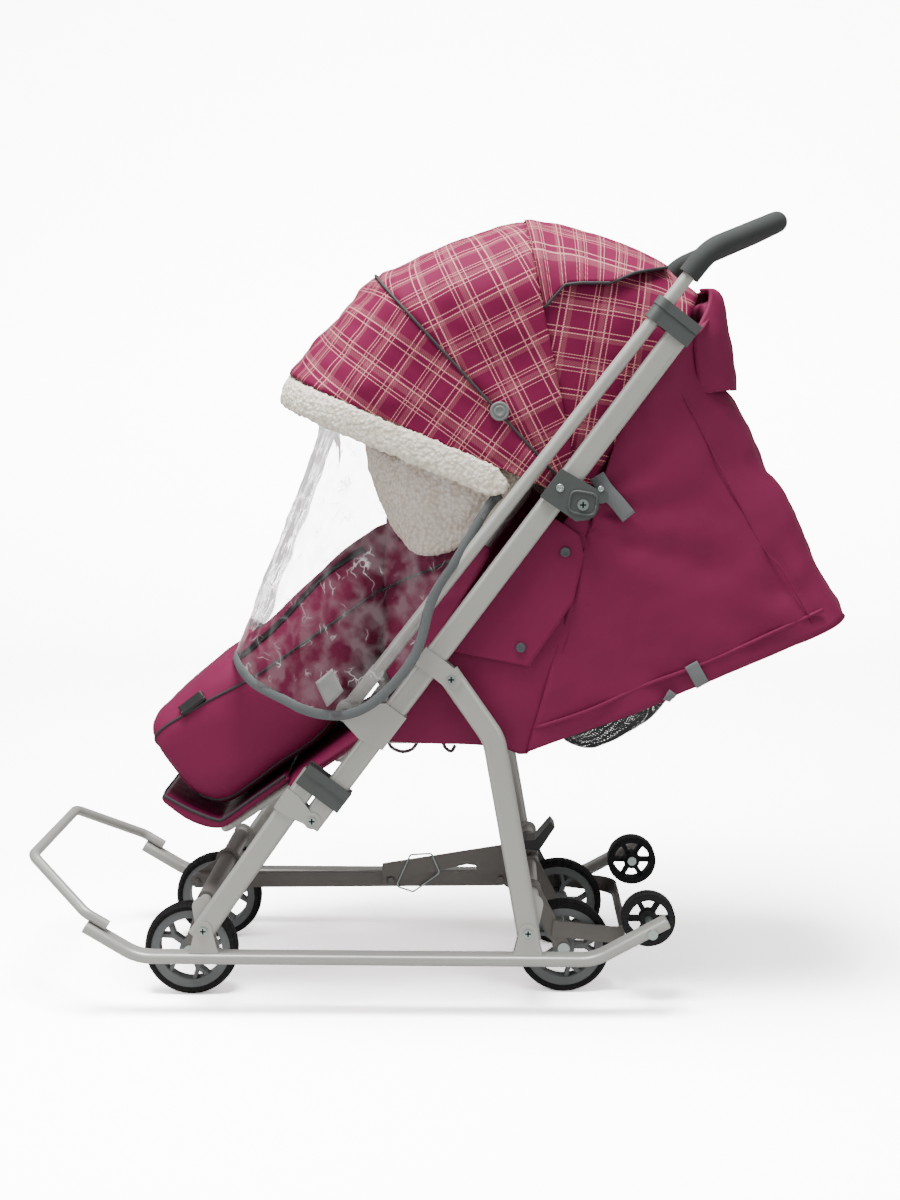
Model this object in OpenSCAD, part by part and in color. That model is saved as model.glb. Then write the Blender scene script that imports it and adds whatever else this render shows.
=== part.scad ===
// Sled stroller: a folding pushchair on two runners, with four wheels that swing up out of the snow.
// Frame: +X to the rear, +Z up, floor at Z = 0, mid-plane at Y = 0. Points in the side view are [x, z].

/* [Tubes] */
// Width of the flat oval frame tube, seen from the side
tube_w = 30; // [26:0.5:34]
// Thickness of the flat oval frame tube, across the stroller
tube_t = 15; // [13:0.5:17]
// Wall of every tube
tube_wall = 1.5; // [1:0.1:2]
// Diameter of the handle tube
handle_d = 17; // [15:0.5:19]
// Diameter of the front arch tube
arch_d = 14; // [12:0.5:18]
// Diameter of the fixed cross tubes that carry the wheel arms
cross_d = 16; // [14:0.5:18]
// Thickness of bracket sheet metal
sheet = 2; // [1.5:0.1:2.5]

/* [Fits] */
// Clearance between flat faces of moving pieces
gap = 0.4; // [0.3:0.05:0.6]
// Radial clearance of a pin in its bore
fit = 0.05; // [0.03:0.01:0.08]

/* [Track] */
// Half the distance between the middles of the two runners
frame_y = 207; // [195:1:225]
// Distance of the front wheels' mid-planes from the stroller's mid-plane
front_wheel_y = 127; // [120:1:135]
// Distance of the rear wheels' mid-planes from the stroller's mid-plane
rear_wheel_y = 105; // [98:1:112]
// Distance of the transport wheels' mid-planes from the stroller's mid-plane
transport_y = 150; // [140:1:158]

/* [Runners] */
// Height of the runner tube's middle above the floor with the wheels down
runner_z = 75.5; // [70:0.5:80]
// X of the corner where a runner's front end turns up
runner_front_x = -382; // [-395:1:-370]
// X of the corner where a runner's rear end turns up
runner_rear_x = 213; // [205:1:225]
// Angle of the runner's front end
front_rise = 31; // [26:1:36]
// Angle of the runner's rear end
rear_rise = 29; // [24:1:34]
// Length of the runner's front end
front_end = 80; // [70:1:95]
// Length of the runner's rear end
rear_end = 108; // [100:1:120]
// Bend radius of the runner
runner_bend = 70; // [50:1:80]
// How far the front arch reaches ahead of the runner tips
arch_reach = 86.4; // [70:0.2:95]
// How far the front arch climbs above the runner tips
arch_climb = 56; // [45:1:65]
// Half width of the front arch at its corners
arch_y = 130; // [115:1:150]

/* [Frame pivots] */
// X of the front leg's pivot on the runner
front_pivot_x = -295; // [-300:1:-290]
// X of the rear leg's pivot on the runner
rear_pivot_x = 127; // [122:1:132]
// Height of the leg pivots above the runner's top
pivot_rise = 30; // [27:0.5:33]
// X of the fold bolt between front leg and main tube
fold_x = -152; // [-154:0.5:-150]
// Z of the fold bolt between front leg and main tube
fold_z = 260; // [258:0.5:262]
// Angle of the main tube above the floor
main_angle = 53.3; // [52.5:0.1:54]
// Angle of the front leg above the floor
leg_angle = 55; // [54.6:0.1:55.4]
// Length of the main tube above the fold bolt
main_len = 788; // [770:1:800]
// Length of the front leg above its pivot
leg_len = 254; // [250:1:258]
// Distance along the main tube from the fold bolt to the strap bracket
strap_at = 256; // [245:1:265]
// Distance of the rear leg's top pivot from the main tube's middle
strap_off = 33; // [32:0.5:36]
// X of the bend in the rear leg
knee_x = 82; // [78:1:86]
// Z of the bend in the rear leg
knee_z = 367; // [360:1:374]
// Radius of the frame's pivot bolts
bolt_r = 3; // [2.5:0.25:3.5]

/* [Wheel lift] */
// Diameter of the main wheels
wheel_d = 127; // [120:1:132]
// Width of the main wheels
wheel_w = 26; // [22:1:28]
// X of the front axle with the wheels down
front_axle_x = -325; // [-330:1:-320]
// X of the rear axle with the wheels down
rear_axle_x = 177; // [172:1:182]
// Height of the front cross tube above the front leg's pivot
front_cross_rise = 27; // [25:0.5:30]
// Height of the rear cross tube above the rear leg's pivot
rear_cross_rise = 33; // [30:0.5:36]
// X of the rear cross tube, from the rear leg's pivot
rear_cross_dx = 7; // [4:0.5:9]
// X of the front cross tube, from the front leg's pivot
front_cross_dx = -4; // [-6:0.5:-2]
// Distance of the rod pins ahead of the cross tubes
lever_dx = 42; // [39:0.5:44]
// Distance of the rod pins below the cross tubes
lever_dz = 28; // [27:0.5:31]
// Radius of the wheel axles
axle_r = 5; // [4:0.25:6]
// Thickness of arm and lever plates
arm_t = 4; // [3:0.25:5]
// Y of the connecting rod's middle
rod_y = 30; // [24:1:36]
// Height of the connecting rod
rod_h = 20; // [16:0.5:22]
// Width of the connecting rod
rod_w = 12; // [10:0.5:14]
// X of the latch stud on the connecting rod
stud_x = -64; // [-75:1:-55]
// Reach of the step bar behind the rear axle
step_reach = 84; // [70:1:95]
// Diameter of the transport wheels
transport_d = 71; // [64:1:76]
// Width of the transport wheels
transport_w = 22; // [18:1:26]

/* [Handle] */
// Distance along the main tube from the fold bolt to the handle's pivot
handle_at = 141; // [137:1:145]
// Distance of the handle's pivot from the main tube's middle
handle_off = 50; // [48:0.5:52]
// Angle of the handle tube above the floor
handle_angle = 52; // [51.8:0.1:52.3]
// Length of the handle tube from its pivot to its first bend
handle_len = 738; // [715:1:745]
// Angle of the grip above the floor
grip_angle = 23; // [18:1:30]
// Length of the grip's side up to the cross bar, seen from the side
grip_run = 108; // [95:1:115]
// Half width of the handle's cross bar between its corners
grip_y = 112; // [95:1:130]
// Outer diameter of the foam grip
grip_d = 28; // [25:0.5:31]

/* [Hood] */
// Distance along the main tube from the fold bolt to the hood's pivot
hood_at = 534; // [526:1:542]
// Distance of the hood's pivot from the main tube's middle
hood_off = 32; // [31:0.5:34]
// Radius of the hood's front hoop
hood_front_r = 418; // [405:1:430]
// Radius of the hood's second hoop
hood_second_r = 394; // [388:1:400]
// Radius of the hood's third hoop
hood_third_r = 365; // [358:1:372]
// Radius of the hood's rear edge
hood_rear_r = 312; // [300:1:320]
// Half width of the hood's front section
hood_y = 192; // [184:1:194]
// Height of the hood's domed top
hood_dome = 130; // [110:1:150]
// Thickness of the hood's padded cloth
hood_t = 4; // [3:0.5:4]
// Width of the fleece trim on the hood's front edge
trim_w = 38; // [30:1:44]

/* [Seat] */
// Height of the seat frame's tubes
seat_z = 360; // [354:1:366]
// X of the seat frame's front tube
seat_front_x = -85; // [-90:1:-80]
// X of the seat frame's rear tube, where the backrest hinges
seat_rear_x = 132; // [126:1:138]
// Half width of the seat frame
seat_y = 170; // [160:1:176]
// Diameter of the seat frame's tubes
seat_d = 14; // [12:0.5:16]
// Thickness of the seat pad
pad_t = 26; // [22:1:30]
// Angle of the reclined backrest
recline = 21; // [18:0.5:24]
// Length of the backrest
back_len = 425; // [400:1:430]
// Angle of the calf rest
calf_angle = 34.6; // [33:0.1:36]
// Length of the calf rest
calf_len = 236; // [228:1:240]
// Length of the foot plate
foot_len = 80; // [70:1:88]
// Angle of the foot plate
foot_angle = 26; // [22:1:30]

/* [Hidden] */
$fn = 48;

frame_paint = "#c9c8c4";
dark_plastic = "#5a5d60";
black = "#1d1d20";
zinc = "#b8bcc0";
cloth = "#8e1f55";
fleece = "#ece8df";
left = -1;
right = 1;

// Points and directions in the side view
function dir(a) = [cos(a), sin(a)];
function under(a) = [sin(a), -cos(a)];
function along(p, a, d, s = 0) = p + d * dir(a) + s * under(a);
function at_y(p, y) = [p.x, y, p.y];
function unit(v) = v / norm(v);
function mix(a, b, t) = a + (b - a) * t;
function flat(rows) = [for (row = rows) for (p = row) p];

runner_top = runner_z + tube_t / 2;
pivot_z = runner_top + pivot_rise;
front_pivot = [front_pivot_x, pivot_z];
rear_pivot = [rear_pivot_x, pivot_z];
fold = [fold_x, fold_z];
strap_pivot = along(fold, main_angle, strap_at, strap_off);
handle_pivot = along(fold, main_angle, handle_at, -handle_off);
hood_pivot = along(fold, main_angle, hood_at, hood_off);
knee = [knee_x, knee_z];
front_cross = front_pivot + [front_cross_dx, front_cross_rise];
rear_cross = rear_pivot + [rear_cross_dx, rear_cross_rise];
front_axle_p = [front_axle_x, wheel_d / 2];
rear_axle_p = [rear_axle_x, wheel_d / 2];
front_pin = front_cross - [lever_dx, lever_dz];
rear_pin = rear_cross - [lever_dx, lever_dz];
stud = [stud_x, mix(front_pin.y, rear_pin.y, (stud_x - front_pin.x) / (rear_pin.x - front_pin.x))];
half_t = tube_t / 2;
half_w = tube_w / 2;
cheek_in = half_t + gap;
cheek_out = cheek_in + sheet;
inner_face = frame_y - cheek_out;
cross_r = cross_d / 2;
collar_r = cross_r + 4;
handle_r = handle_d / 2;
seat_r = seat_d / 2;
main_top = along(fold, main_angle, main_len);

// An outline in the side view, made a plate of thickness t round y
module slab(y, t) {
    translate([0, y + t / 2, 0]) rotate([90, 0, 0]) linear_extrude(t) children();
}

// A round bar across the stroller from y0 to y1
module pin(p, y0, y1, r) {
    translate([p.x, y1, p.y]) rotate([90, 0, 0]) cylinder(r = r, h = y1 - y0);
}

// A pan head on a bolt's end: the flat side at y, the dome towards s
module bolt_head(p, y, s, r, h) {
    pin(p, s > 0 ? y : y - h, s > 0 ? y + h : y, r);
}

module disc(p, r) {
    translate(p) circle(r);
}

module pair() {
    children();
    mirror([0, 1, 0]) children();
}

// Local Z runs along a line in the side view, local X to its under side
module on_line(p, a, y = 0) {
    translate([p.x, y, p.y]) rotate([0, 90 - a, 0]) children();
}

// The plate that joins two cheeks of a folded bracket; it ends inside them, short of their edges
lap = 0.4;

module fold_plate(p, a, side, from, to) {
    on_line(p, a, frame_y) translate([side, lap - cheek_out, from + lap])
        cube([sheet, 2 * (cheek_out - lap), to - from - 2 * lap]);
}

// A bar between two points in the side view, with round ends
module link(p, q, r) {
    d = unit(q - p);
    n = [-d.y, d.x] * r;
    polygon([p + n, q + n, q - n, p - n]);
    disc(p, r);
    disc(q, r);
}

// A flat oval w wide and t thick, a circle where the two are the same
module oval(w, t) {
    r = min(w, t) / 2;
    if (w > t) square([w - t, t], center = true);
    if (t > w) square([w, t - w], center = true);
    if (w == t) circle(r);
    else for (s = [-1, 1]) translate(s * [max(0, w / 2 - r), max(0, t / 2 - r)]) circle(r);
}

// The section of a tube, or of a solid bar where the wall is 0; grow widens it both ways
module section(w, t, wall, grow = 0) {
    cut = 2 * (wall + grow);
    difference() {
        oval(w + 2 * grow, t + 2 * grow);
        if (wall > 0) oval(w - cut, t - cut);
    }
}

module ring(r_out, r_in) {
    difference() {
        circle(r_out);
        circle(r_in);
    }
}

// A tube along straight runs, w in the plane of its bends and t across it. The bends are drawn a hair
// fatter than the runs, which end inside them
function run_dir(pts, i) = unit(pts[i + 1] - pts[i]);
function turn(pts, i) = acos(min(1, max(-1, run_dir(pts, i - 1) * run_dir(pts, i))));
function inner_point(pts, i) = i > 0 && i < len(pts) - 1;
function set_back(pts, r, i) = inner_point(pts, i) ? r * tan(turn(pts, i) / 2) - joint_in : 0;
function cross_axis(d) = abs(d.y) > 0.9 ? [1, 0, 0] : unit([0, 1, 0] - d.y * d);
joint_in = 0.6;
joint_fat = 0.06;

module basis(o, x, y, z) {
    multmatrix([[x.x, y.x, z.x, o.x], [x.y, y.y, z.y, o.y], [x.z, y.z, z.z, o.z]]) children();
}

module bent_tube(pts, r, w, t, wall = 0) {
    for (i = [0 : len(pts) - 2]) {
        d = run_dir(pts, i);
        start = set_back(pts, r, i);
        run = norm(pts[i + 1] - pts[i]) - start - set_back(pts, r, i + 1);
        axis = unit(cross_axis(d) - (cross_axis(d) * d) * d);
        basis(pts[i] + start * d, cross(axis, d), axis, d) linear_extrude(run) section(w, t, wall);
    }
    for (i = [1 : 1 : len(pts) - 2]) {
        d = run_dir(pts, i - 1);
        axis = unit(cross(d, run_dir(pts, i)));
        inward = cross(axis, d);
        centre = pts[i] - (set_back(pts, r, i) + joint_in) * d + r * inward;
        basis(centre, -inward, d, axis) rotate_extrude(angle = turn(pts, i))
            translate([r, 0]) section(w, t, wall, joint_fat);
    }
}

// A closed skin between two grids of points; rows cross columns point out of the first grid
module skin(top, base) {
    rows = len(top);
    cols = len(top[0]);
    n = rows * cols;
    quads = [
        for (i = [0 : rows - 2]) for (j = [0 : cols - 2])
            [i * cols + j, i * cols + j + 1, (i + 1) * cols + j + 1, (i + 1) * cols + j]
    ];
    rim = concat(
        [for (j = [0 : cols - 1]) j],
        [for (i = [1 : rows - 1]) i * cols + cols - 1],
        [for (j = [cols - 2 : -1 : 0]) (rows - 1) * cols + j],
        [for (i = [rows - 2 : -1 : 1]) i * cols]
    );
    m = len(rim);
    polyhedron(concat(flat(top), flat(base)), concat(
        [for (q = quads) [q[0], q[1], q[2]]],
        [for (q = quads) [q[0], q[2], q[3]]],
        [for (q = quads) [q[2] + n, q[1] + n, q[0] + n]],
        [for (q = quads) [q[3] + n, q[2] + n, q[0] + n]],
        [for (k = [0 : m - 1]) [rim[(k + 1) % m], rim[k], rim[k] + n]],
        [for (k = [0 : m - 1]) [rim[(k + 1) % m], rim[k] + n, rim[(k + 1) % m] + n]]
    ));
}

// A closed body through rings of points, each ring anticlockwise about the way they follow
module loft(rings) {
    rows = len(rings);
    cols = len(rings[0]);
    function id(i, j) = i * cols + j % cols;
    polyhedron(flat(rings), concat(
        [[for (j = [0 : cols - 1]) j]],
        [for (i = [0 : rows - 2]) for (j = [0 : cols - 1]) [id(i, j), id(i + 1, j), id(i + 1, j + 1)]],
        [for (i = [0 : rows - 2]) for (j = [0 : cols - 1]) [id(i, j), id(i + 1, j + 1), id(i, j + 1)]],
        [[for (j = [cols - 1 : -1 : 0]) id(rows - 1, j)]]
    ));
}

// Sled

runner_front = [runner_front_x, runner_z];
runner_rear = [runner_rear_x, runner_z];
runner_tip = runner_front + front_end * [-cos(front_rise), sin(front_rise)];
runner_tail = runner_rear + rear_end * dir(rear_rise);
transport_p = along(runner_tail, rear_rise, -24, 2);
transport_r = 4;

module runner(side) {
    y = side * frame_y;
    path = [for (p = [runner_tip, runner_front, runner_rear, runner_tail]) at_y(p, y)];
    color(frame_paint) difference() {
        bent_tube(path, runner_bend, tube_t, tube_w, tube_wall);
        pin(transport_p, y - tube_w, y + tube_w, transport_r + fit);
    }
}

module runner_left() {
    runner(left);
}

module runner_right() {
    runner(right);
}

module front_arch() {
    seat = runner_tip + [0, (half_t + arch_d / 2 + 0.1) / cos(front_rise)];
    heel = seat + 34 * [cos(front_rise), -sin(front_rise)];
    corner = seat + [-arch_reach, arch_climb];
    path = [
        at_y(heel, -frame_y), at_y(seat, -frame_y), at_y(corner, -arch_y),
        at_y(corner, arch_y), at_y(seat, frame_y), at_y(heel, frame_y)
    ];
    color(frame_paint) bent_tube(path, 22, arch_d, arch_d, tube_wall);
}

// Sheet-metal ears on a runner: the leg swings between them, the cross tube butts on the inner one
bracket_half = 19;
lug_r = cross_r + 5;

module bracket_ear(pivot) {
    polygon([
        [pivot.x - bracket_half, runner_top], [pivot.x + bracket_half, runner_top],
        [pivot.x + 10, pivot.y + 6], [pivot.x - 10, pivot.y + 6]
    ]);
    disc(pivot, 12);
}

module runner_bracket(pivot, cross_p) {
    color(frame_paint) difference() {
        union() {
            slab(frame_y + cheek_in + sheet / 2, sheet) bracket_ear(pivot);
            slab(frame_y - cheek_in - sheet / 2, sheet) {
                bracket_ear(pivot);
                link(pivot, cross_p, lug_r);
            }
            slab(frame_y, 2 * cheek_out)
                polygon([
                    [pivot.x - bracket_half, runner_top], [pivot.x + bracket_half, runner_top],
                    [pivot.x + bracket_half, runner_top + sheet], [pivot.x - bracket_half, runner_top + sheet]
                ]);
        }
        pin(pivot, frame_y - tube_w, frame_y + tube_w, bolt_r + fit);
    }
}

module runner_brackets() {
    pair() {
        runner_bracket(front_pivot, front_cross);
        runner_bracket(rear_pivot, rear_cross);
    }
}

// A bolt through both ears, with its head outside and its nut inside
head_r = 5.5;
head_h = 3;

module through_bolt(p) {
    color(zinc) {
        pin(p, frame_y - cheek_out, frame_y + cheek_out, bolt_r);
        bolt_head(p, frame_y + cheek_out, 1, head_r, head_h);
        bolt_head(p, frame_y - cheek_out, -1, head_r, head_h);
    }
}

module bracket_bolts() {
    pair() {
        through_bolt(front_pivot);
        through_bolt(rear_pivot);
    }
}

module cross_tube(p) {
    color(frame_paint) difference() {
        pin(p, -inner_face, inner_face, cross_r);
        pin(p, -inner_face - 1, inner_face + 1, cross_r - tube_wall);
    }
}

module front_cross_tube() {
    cross_tube(front_cross);
}

module rear_cross_tube() {
    cross_tube(rear_cross);
}

transport_in = transport_y - transport_w / 2;

module transport_bolts() {
    pair() color(zinc) {
        pin(transport_p, transport_in - 4, frame_y + half_w + 1, transport_r);
        bolt_head(transport_p, frame_y + half_w, 1, 6.5, 4);
        bolt_head(transport_p, transport_in - gap, -1, 6.5, 4);
        pin(transport_p, transport_y + transport_w / 2 + gap, frame_y - half_w, transport_r + 2);
    }
}

// A small moulded wheel with six spokes, knurled round the tread
module transport_wheel(side) {
    y = side * transport_y;
    r = transport_d / 2;
    spokes = 6;
    color(black) difference() {
        union() {
            slab(y, transport_w) translate(transport_p) {
                ring(r, r - 9);
                ring(12, transport_r + fit);
            }
            slab(y, transport_w - 10) translate(transport_p) for (k = [0 : spokes - 1])
                rotate(k * 360 / spokes) translate([10, -3]) square([r - 16, 6]);
        }
    }
}

module transport_wheel_left() {
    transport_wheel(left);
}

module transport_wheel_right() {
    transport_wheel(right);
}

// Wheel lift: arms, levers and axles turn about the cross tubes

// Cuts the bores for the cross tube and the axle, between y0 and y1
module bored(cross_p, axle_p, y0, y1) {
    difference() {
        union() children();
        pin(cross_p, y0 - 1, y1 + 1, cross_r + fit);
        pin(axle_p, y0 - 1, y1 + 1, axle_r + fit);
    }
}

hub_gap = 1;
collar_len = 22;

module wheel_arms(cross_p, axle_p, wheel_y) {
    arm_y = wheel_y + wheel_w / 2 + hub_gap;
    end_y = arm_y + arm_t + collar_len;
    pair() color(frame_paint) bored(cross_p, axle_p, arm_y, end_y) {
        slab(arm_y + arm_t / 2, arm_t) link(cross_p, axle_p, axle_r + 5);
        pin(cross_p, arm_y, end_y, collar_r);
    }
}

// Both front arms on one sleeve, which turns on the cross tube
module front_arms() {
    arm_y = front_wheel_y + wheel_w / 2 + hub_gap;
    end_y = arm_y + arm_t + collar_len;
    color(frame_paint) bored(front_cross, front_axle_p, -end_y, end_y) {
        pair() slab(arm_y + arm_t / 2, arm_t) link(front_cross, front_axle_p, axle_r + 5);
        pin(front_cross, -end_y, end_y, collar_r);
    }
}

module rear_arms() {
    wheel_arms(rear_cross, rear_axle_p, rear_wheel_y);
}

pin_r = 4;
lever_y = rod_y + rod_w / 2 + gap + arm_t / 2;

// A triangular plate between cross tube, axle and rod pin; the pin is riveted into it
module lever(cross_p, axle_p, pin_p) {
    low_y = lever_y - arm_t / 2;
    end_y = lever_y + arm_t / 2 + collar_len;
    color(frame_paint) bored(cross_p, axle_p, low_y, end_y) {
        slab(lever_y, arm_t) {
            polygon([cross_p, axle_p, pin_p]);
            link(cross_p, axle_p, axle_r + 4);
            link(cross_p, pin_p, pin_r + 4);
            link(pin_p, axle_p, pin_r + 4);
        }
        pin(cross_p, low_y, end_y, collar_r);
        pin(pin_p, rod_y - rod_w / 2 - 5, lever_y, pin_r);
    }
}

// A plate on the front sleeve with the rod's front pin
module front_lever() {
    color(frame_paint) {
        slab(lever_y, arm_t) difference() {
            union() {
                link(front_cross, front_pin, pin_r + 5);
                disc(front_cross, collar_r + 5);
            }
            disc(front_cross, collar_r + fit);
        }
        pin(front_pin, rod_y - rod_w / 2 - 5, lever_y, pin_r);
    }
}

module rear_lever() {
    lever(rear_cross, rear_axle_p, rear_pin);
}

module wheel_axle(axle_p, wheel_y) {
    end = wheel_y + wheel_w / 2 + hub_gap + arm_t;
    color(zinc) {
        pin(axle_p, -end, end, axle_r);
        pair() bolt_head(axle_p, end, 1, axle_r + 3, head_h);
    }
}

// Stub axles, so that the rod can pass between the front wheels as they swing up
module front_axle() {
    hub_y = front_wheel_y - wheel_w / 2 - hub_gap;
    end_y = front_wheel_y + wheel_w / 2 + hub_gap + arm_t;
    pair() color(zinc) {
        pin(front_axle_p, hub_y, end_y, axle_r);
        bolt_head(front_axle_p, end_y, 1, axle_r + 3, head_h);
        bolt_head(front_axle_p, hub_y, -1, axle_r + 3, head_h);
    }
}

module rear_axle() {
    wheel_axle(rear_axle_p, rear_wheel_y);
}

step_h = 22;
step_t = 4;
step_bend = 24;

// A U seen from above, open at x = 0: so long and half so wide, with round corners
module u_shape(long, half, r) {
    translate([0, -half]) square([long - r, 2 * half]);
    translate([0, r - half]) square([long, 2 * (half - r)]);
    for (s = [-1, 1]) translate([long - r, s * (half - r)]) circle(r);
}

// A flat strap bent round the rear wheels, to tread on
module step_bar() {
    half = rear_wheel_y + wheel_w / 2 + hub_gap + arm_t + step_t + 0.1;
    seat = mix(rear_axle_p, rear_cross, 0.35);
    back = [rear_axle_x + step_reach, wheel_d / 2 + 18];
    reach = norm(back - seat);
    tilt = atan2(seat.y - back.y, back.x - seat.x);
    color(frame_paint) translate(at_y(seat, 0)) rotate([0, tilt, 0]) translate([0, 0, -step_h / 2])
        linear_extrude(step_h) difference() {
            u_shape(reach, half, step_bend);
            translate([-step_t, 0]) u_shape(reach, half - step_t, step_bend - step_t);
        }
}

module connecting_rod() {
    color(frame_paint) {
        slab(rod_y, rod_w) difference() {
            link(front_pin, rear_pin, rod_h / 2);
            disc(front_pin, pin_r + fit);
            disc(rear_pin, pin_r + fit);
        }
        pin(stud, rod_y - rod_w / 2 - gap - arm_t, rod_y - rod_w / 2 + 1, pin_r);
    }
}

// A first-class lever on the rear cross tube: the pedal goes down, the hook lifts off the stud
latch_y = rod_y - rod_w / 2 - gap - arm_t / 2;
pedal_base = rear_cross + [2, 22];

module pedal_lever() {
    color(frame_paint) difference() {
        union() {
            slab(latch_y, arm_t) polygon([
                rear_cross + [0, -collar_r], rear_cross + [10, 8], pedal_base + [8, 0],
                pedal_base + [-14, 4], rear_cross + [-41, 22], stud + [-12, 24], stud + [-12, -6],
                stud + [-6, -6], stud + [-6, 6], stud + [5, 6], stud + [16, -6], stud + [30, 6],
                rear_cross + [-89, -6], rear_cross + [-77, -8], rear_cross + [-74, -20], rear_cross + [-37, -20]
            ]);
            pin(rear_cross, latch_y - arm_t / 2 - collar_len, latch_y + arm_t / 2, collar_r);
        }
        pin(rear_cross, latch_y - collar_len - arm_t, latch_y + arm_t, cross_r + fit);
    }
}

module pedal_pad() {
    color(black) slab(latch_y - 14, 40) polygon([
        pedal_base + [-18, 4.5], pedal_base + [10, 0.5], pedal_base + [32, 34],
        pedal_base + [26, 42], pedal_base + [19, 34], pedal_base + [4, 16], pedal_base + [-16, 14]
    ]);
}

module latch_wire() {
    y = latch_y - arm_t / 2 - 1.6;
    bends = [[43, 39], [58, 40], [70, 12], [32, -16], [8, -8], [28, 38], [43, 39]];
    wire_d = 2.4;
    color(zinc) bent_tube([for (p = bends) at_y(stud + p, y)], 5, wire_d, wire_d);
}

// Wheels

rim_r = wheel_d / 2 - 10;
hub_r = 15;

// A moulded rim with five Y-shaped spokes
module rim(axle_p, y) {
    spokes = 5;
    inner_r = rim_r - 11;
    fork = mix(hub_r, inner_r, 0.45);
    splay = 33;
    prong = sqrt(pow(inner_r + 5, 2) - pow(fork * sin(splay), 2)) - fork * cos(splay);
    color("#8b8d8f") {
        slab(y, wheel_w) translate(axle_p) ring(hub_r, axle_r + fit);
        slab(y, wheel_w - 4) translate(axle_p) ring(rim_r, inner_r);
        slab(y, wheel_w - 10) translate(axle_p) for (k = [0 : spokes - 1]) rotate(k * 360 / spokes) {
            translate([hub_r - 1, -3.5]) square([fork - hub_r + 3, 7]);
            for (s = [-1, 1]) translate([fork, 0]) rotate(s * splay) translate([-1, -2.5])
                square([prong + 1, 5]);
        }
    }
}

module tyre(axle_p, y) {
    shoulder = 5;
    color(black) translate([axle_p.x, y, axle_p.y]) rotate([90, 0, 0]) rotate_extrude() polygon([
        [rim_r, -wheel_w / 2 + 1], [wheel_d / 2 - shoulder, -wheel_w / 2],
        [wheel_d / 2 - 1, -wheel_w / 2 + shoulder], [wheel_d / 2, 0],
        [wheel_d / 2 - 1, wheel_w / 2 - shoulder], [wheel_d / 2 - shoulder, wheel_w / 2],
        [rim_r, wheel_w / 2 - 1]
    ]);
}

module front_rim_left() {
    rim(front_axle_p, left * front_wheel_y);
}

module front_rim_right() {
    rim(front_axle_p, right * front_wheel_y);
}

module rear_rim_left() {
    rim(rear_axle_p, left * rear_wheel_y);
}

module rear_rim_right() {
    rim(rear_axle_p, right * rear_wheel_y);
}

module front_tyre_left() {
    tyre(front_axle_p, left * front_wheel_y);
}

module front_tyre_right() {
    tyre(front_axle_p, right * front_wheel_y);
}

module rear_tyre_left() {
    tyre(rear_axle_p, left * rear_wheel_y);
}

module rear_tyre_right() {
    tyre(rear_axle_p, right * rear_wheel_y);
}

// Folding frame

leg_tail = 14;

module front_leg(side) {
    y = side * frame_y;
    color(frame_paint) difference() {
        on_line(front_pivot, leg_angle, y) translate([0, 0, -leg_tail])
            linear_extrude(leg_tail + leg_len) section(tube_w, tube_t, tube_wall);
        pin(front_pivot, y - tube_w, y + tube_w, bolt_r + fit);
    }
}

module front_leg_left() {
    front_leg(left);
}

module front_leg_right() {
    front_leg(right);
}

// Where the fold bolt lies along the front leg
fold_along = (fold - front_pivot) * dir(leg_angle);

// A sheet-metal sleeve on the leg's top, whose ears hold the fold bolt
module leg_sleeve() {
    rest = along(front_pivot, leg_angle, fold_along);
    edge = -half_w - gap - sheet;
    color(frame_paint) {
        for (s = [-1, 1]) slab(frame_y + s * (cheek_in + sheet / 2), sheet) difference() {
            union() {
                polygon([
                    along(rest, leg_angle, -14, edge - lap), along(rest, leg_angle, 17, edge - lap),
                    along(rest, leg_angle, 17, 0), fold + 11 * dir(leg_angle + 40),
                    fold + 11 * dir(leg_angle - 130), along(rest, leg_angle, -14, 0)
                ]);
                disc(fold, 11);
            }
            disc(fold, bolt_r + fit);
        }
        fold_plate(rest, leg_angle, edge, -14, 17);
    }
}

module leg_sleeves() {
    pair() leg_sleeve();
}

leg_head = tail(strap_off);

module rear_leg(side) {
    y = side * frame_y;
    top = strap_pivot + leg_head * unit(strap_pivot - knee);
    foot = rear_pivot + leg_tail * unit(rear_pivot - knee);
    color(frame_paint) difference() {
        bent_tube([at_y(top, y), at_y(knee, y), at_y(foot, y)], 60, tube_w, tube_t, tube_wall);
        pin(rear_pivot, y - tube_w, y + tube_w, bolt_r + fit);
    }
}

module rear_leg_left() {
    rear_leg(left);
}

module rear_leg_right() {
    rear_leg(right);
}

// How far a tube may reach past a bolt that lies so far from the middle of the tube beside it
function tail(off) = sqrt(max(36, pow(off - half_w - 0.6, 2) - half_w * half_w));
main_tail = tail((fold - front_pivot) * under(leg_angle));

module main_tube(side) {
    y = side * frame_y;
    color(frame_paint) difference() {
        on_line(fold, main_angle, y) translate([0, 0, -main_tail])
            linear_extrude(main_tail + main_len) section(tube_w, tube_t, tube_wall);
        pin(fold, y - tube_w, y + tube_w, bolt_r + fit);
    }
}

module main_tube_left() {
    main_tube(left);
}

module main_tube_right() {
    main_tube(right);
}

// Sheet metal wrapped round the main tube, with two ears ahead of it for the handle's pivot
module gusset() {
    spine = half_w + fit;
    for (s = [-1, 1]) slab(frame_y + s * (cheek_in + sheet / 2), sheet) difference() {
        union() {
            polygon([
                along(fold, main_angle, handle_at + 40, spine + sheet + lap),
                along(fold, main_angle, handle_at + 40, -half_w),
                along(handle_pivot, main_angle, 14, 2), along(handle_pivot, main_angle, -10, -6),
                along(fold, main_angle, handle_at - 18, -half_w),
                along(fold, main_angle, handle_at - 12, spine + sheet + lap)
            ]);
            disc(handle_pivot, 13);
        }
        disc(handle_pivot, bolt_r + fit);
    }
    fold_plate(fold, main_angle, spine, handle_at - 12, handle_at + 40);
}

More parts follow.
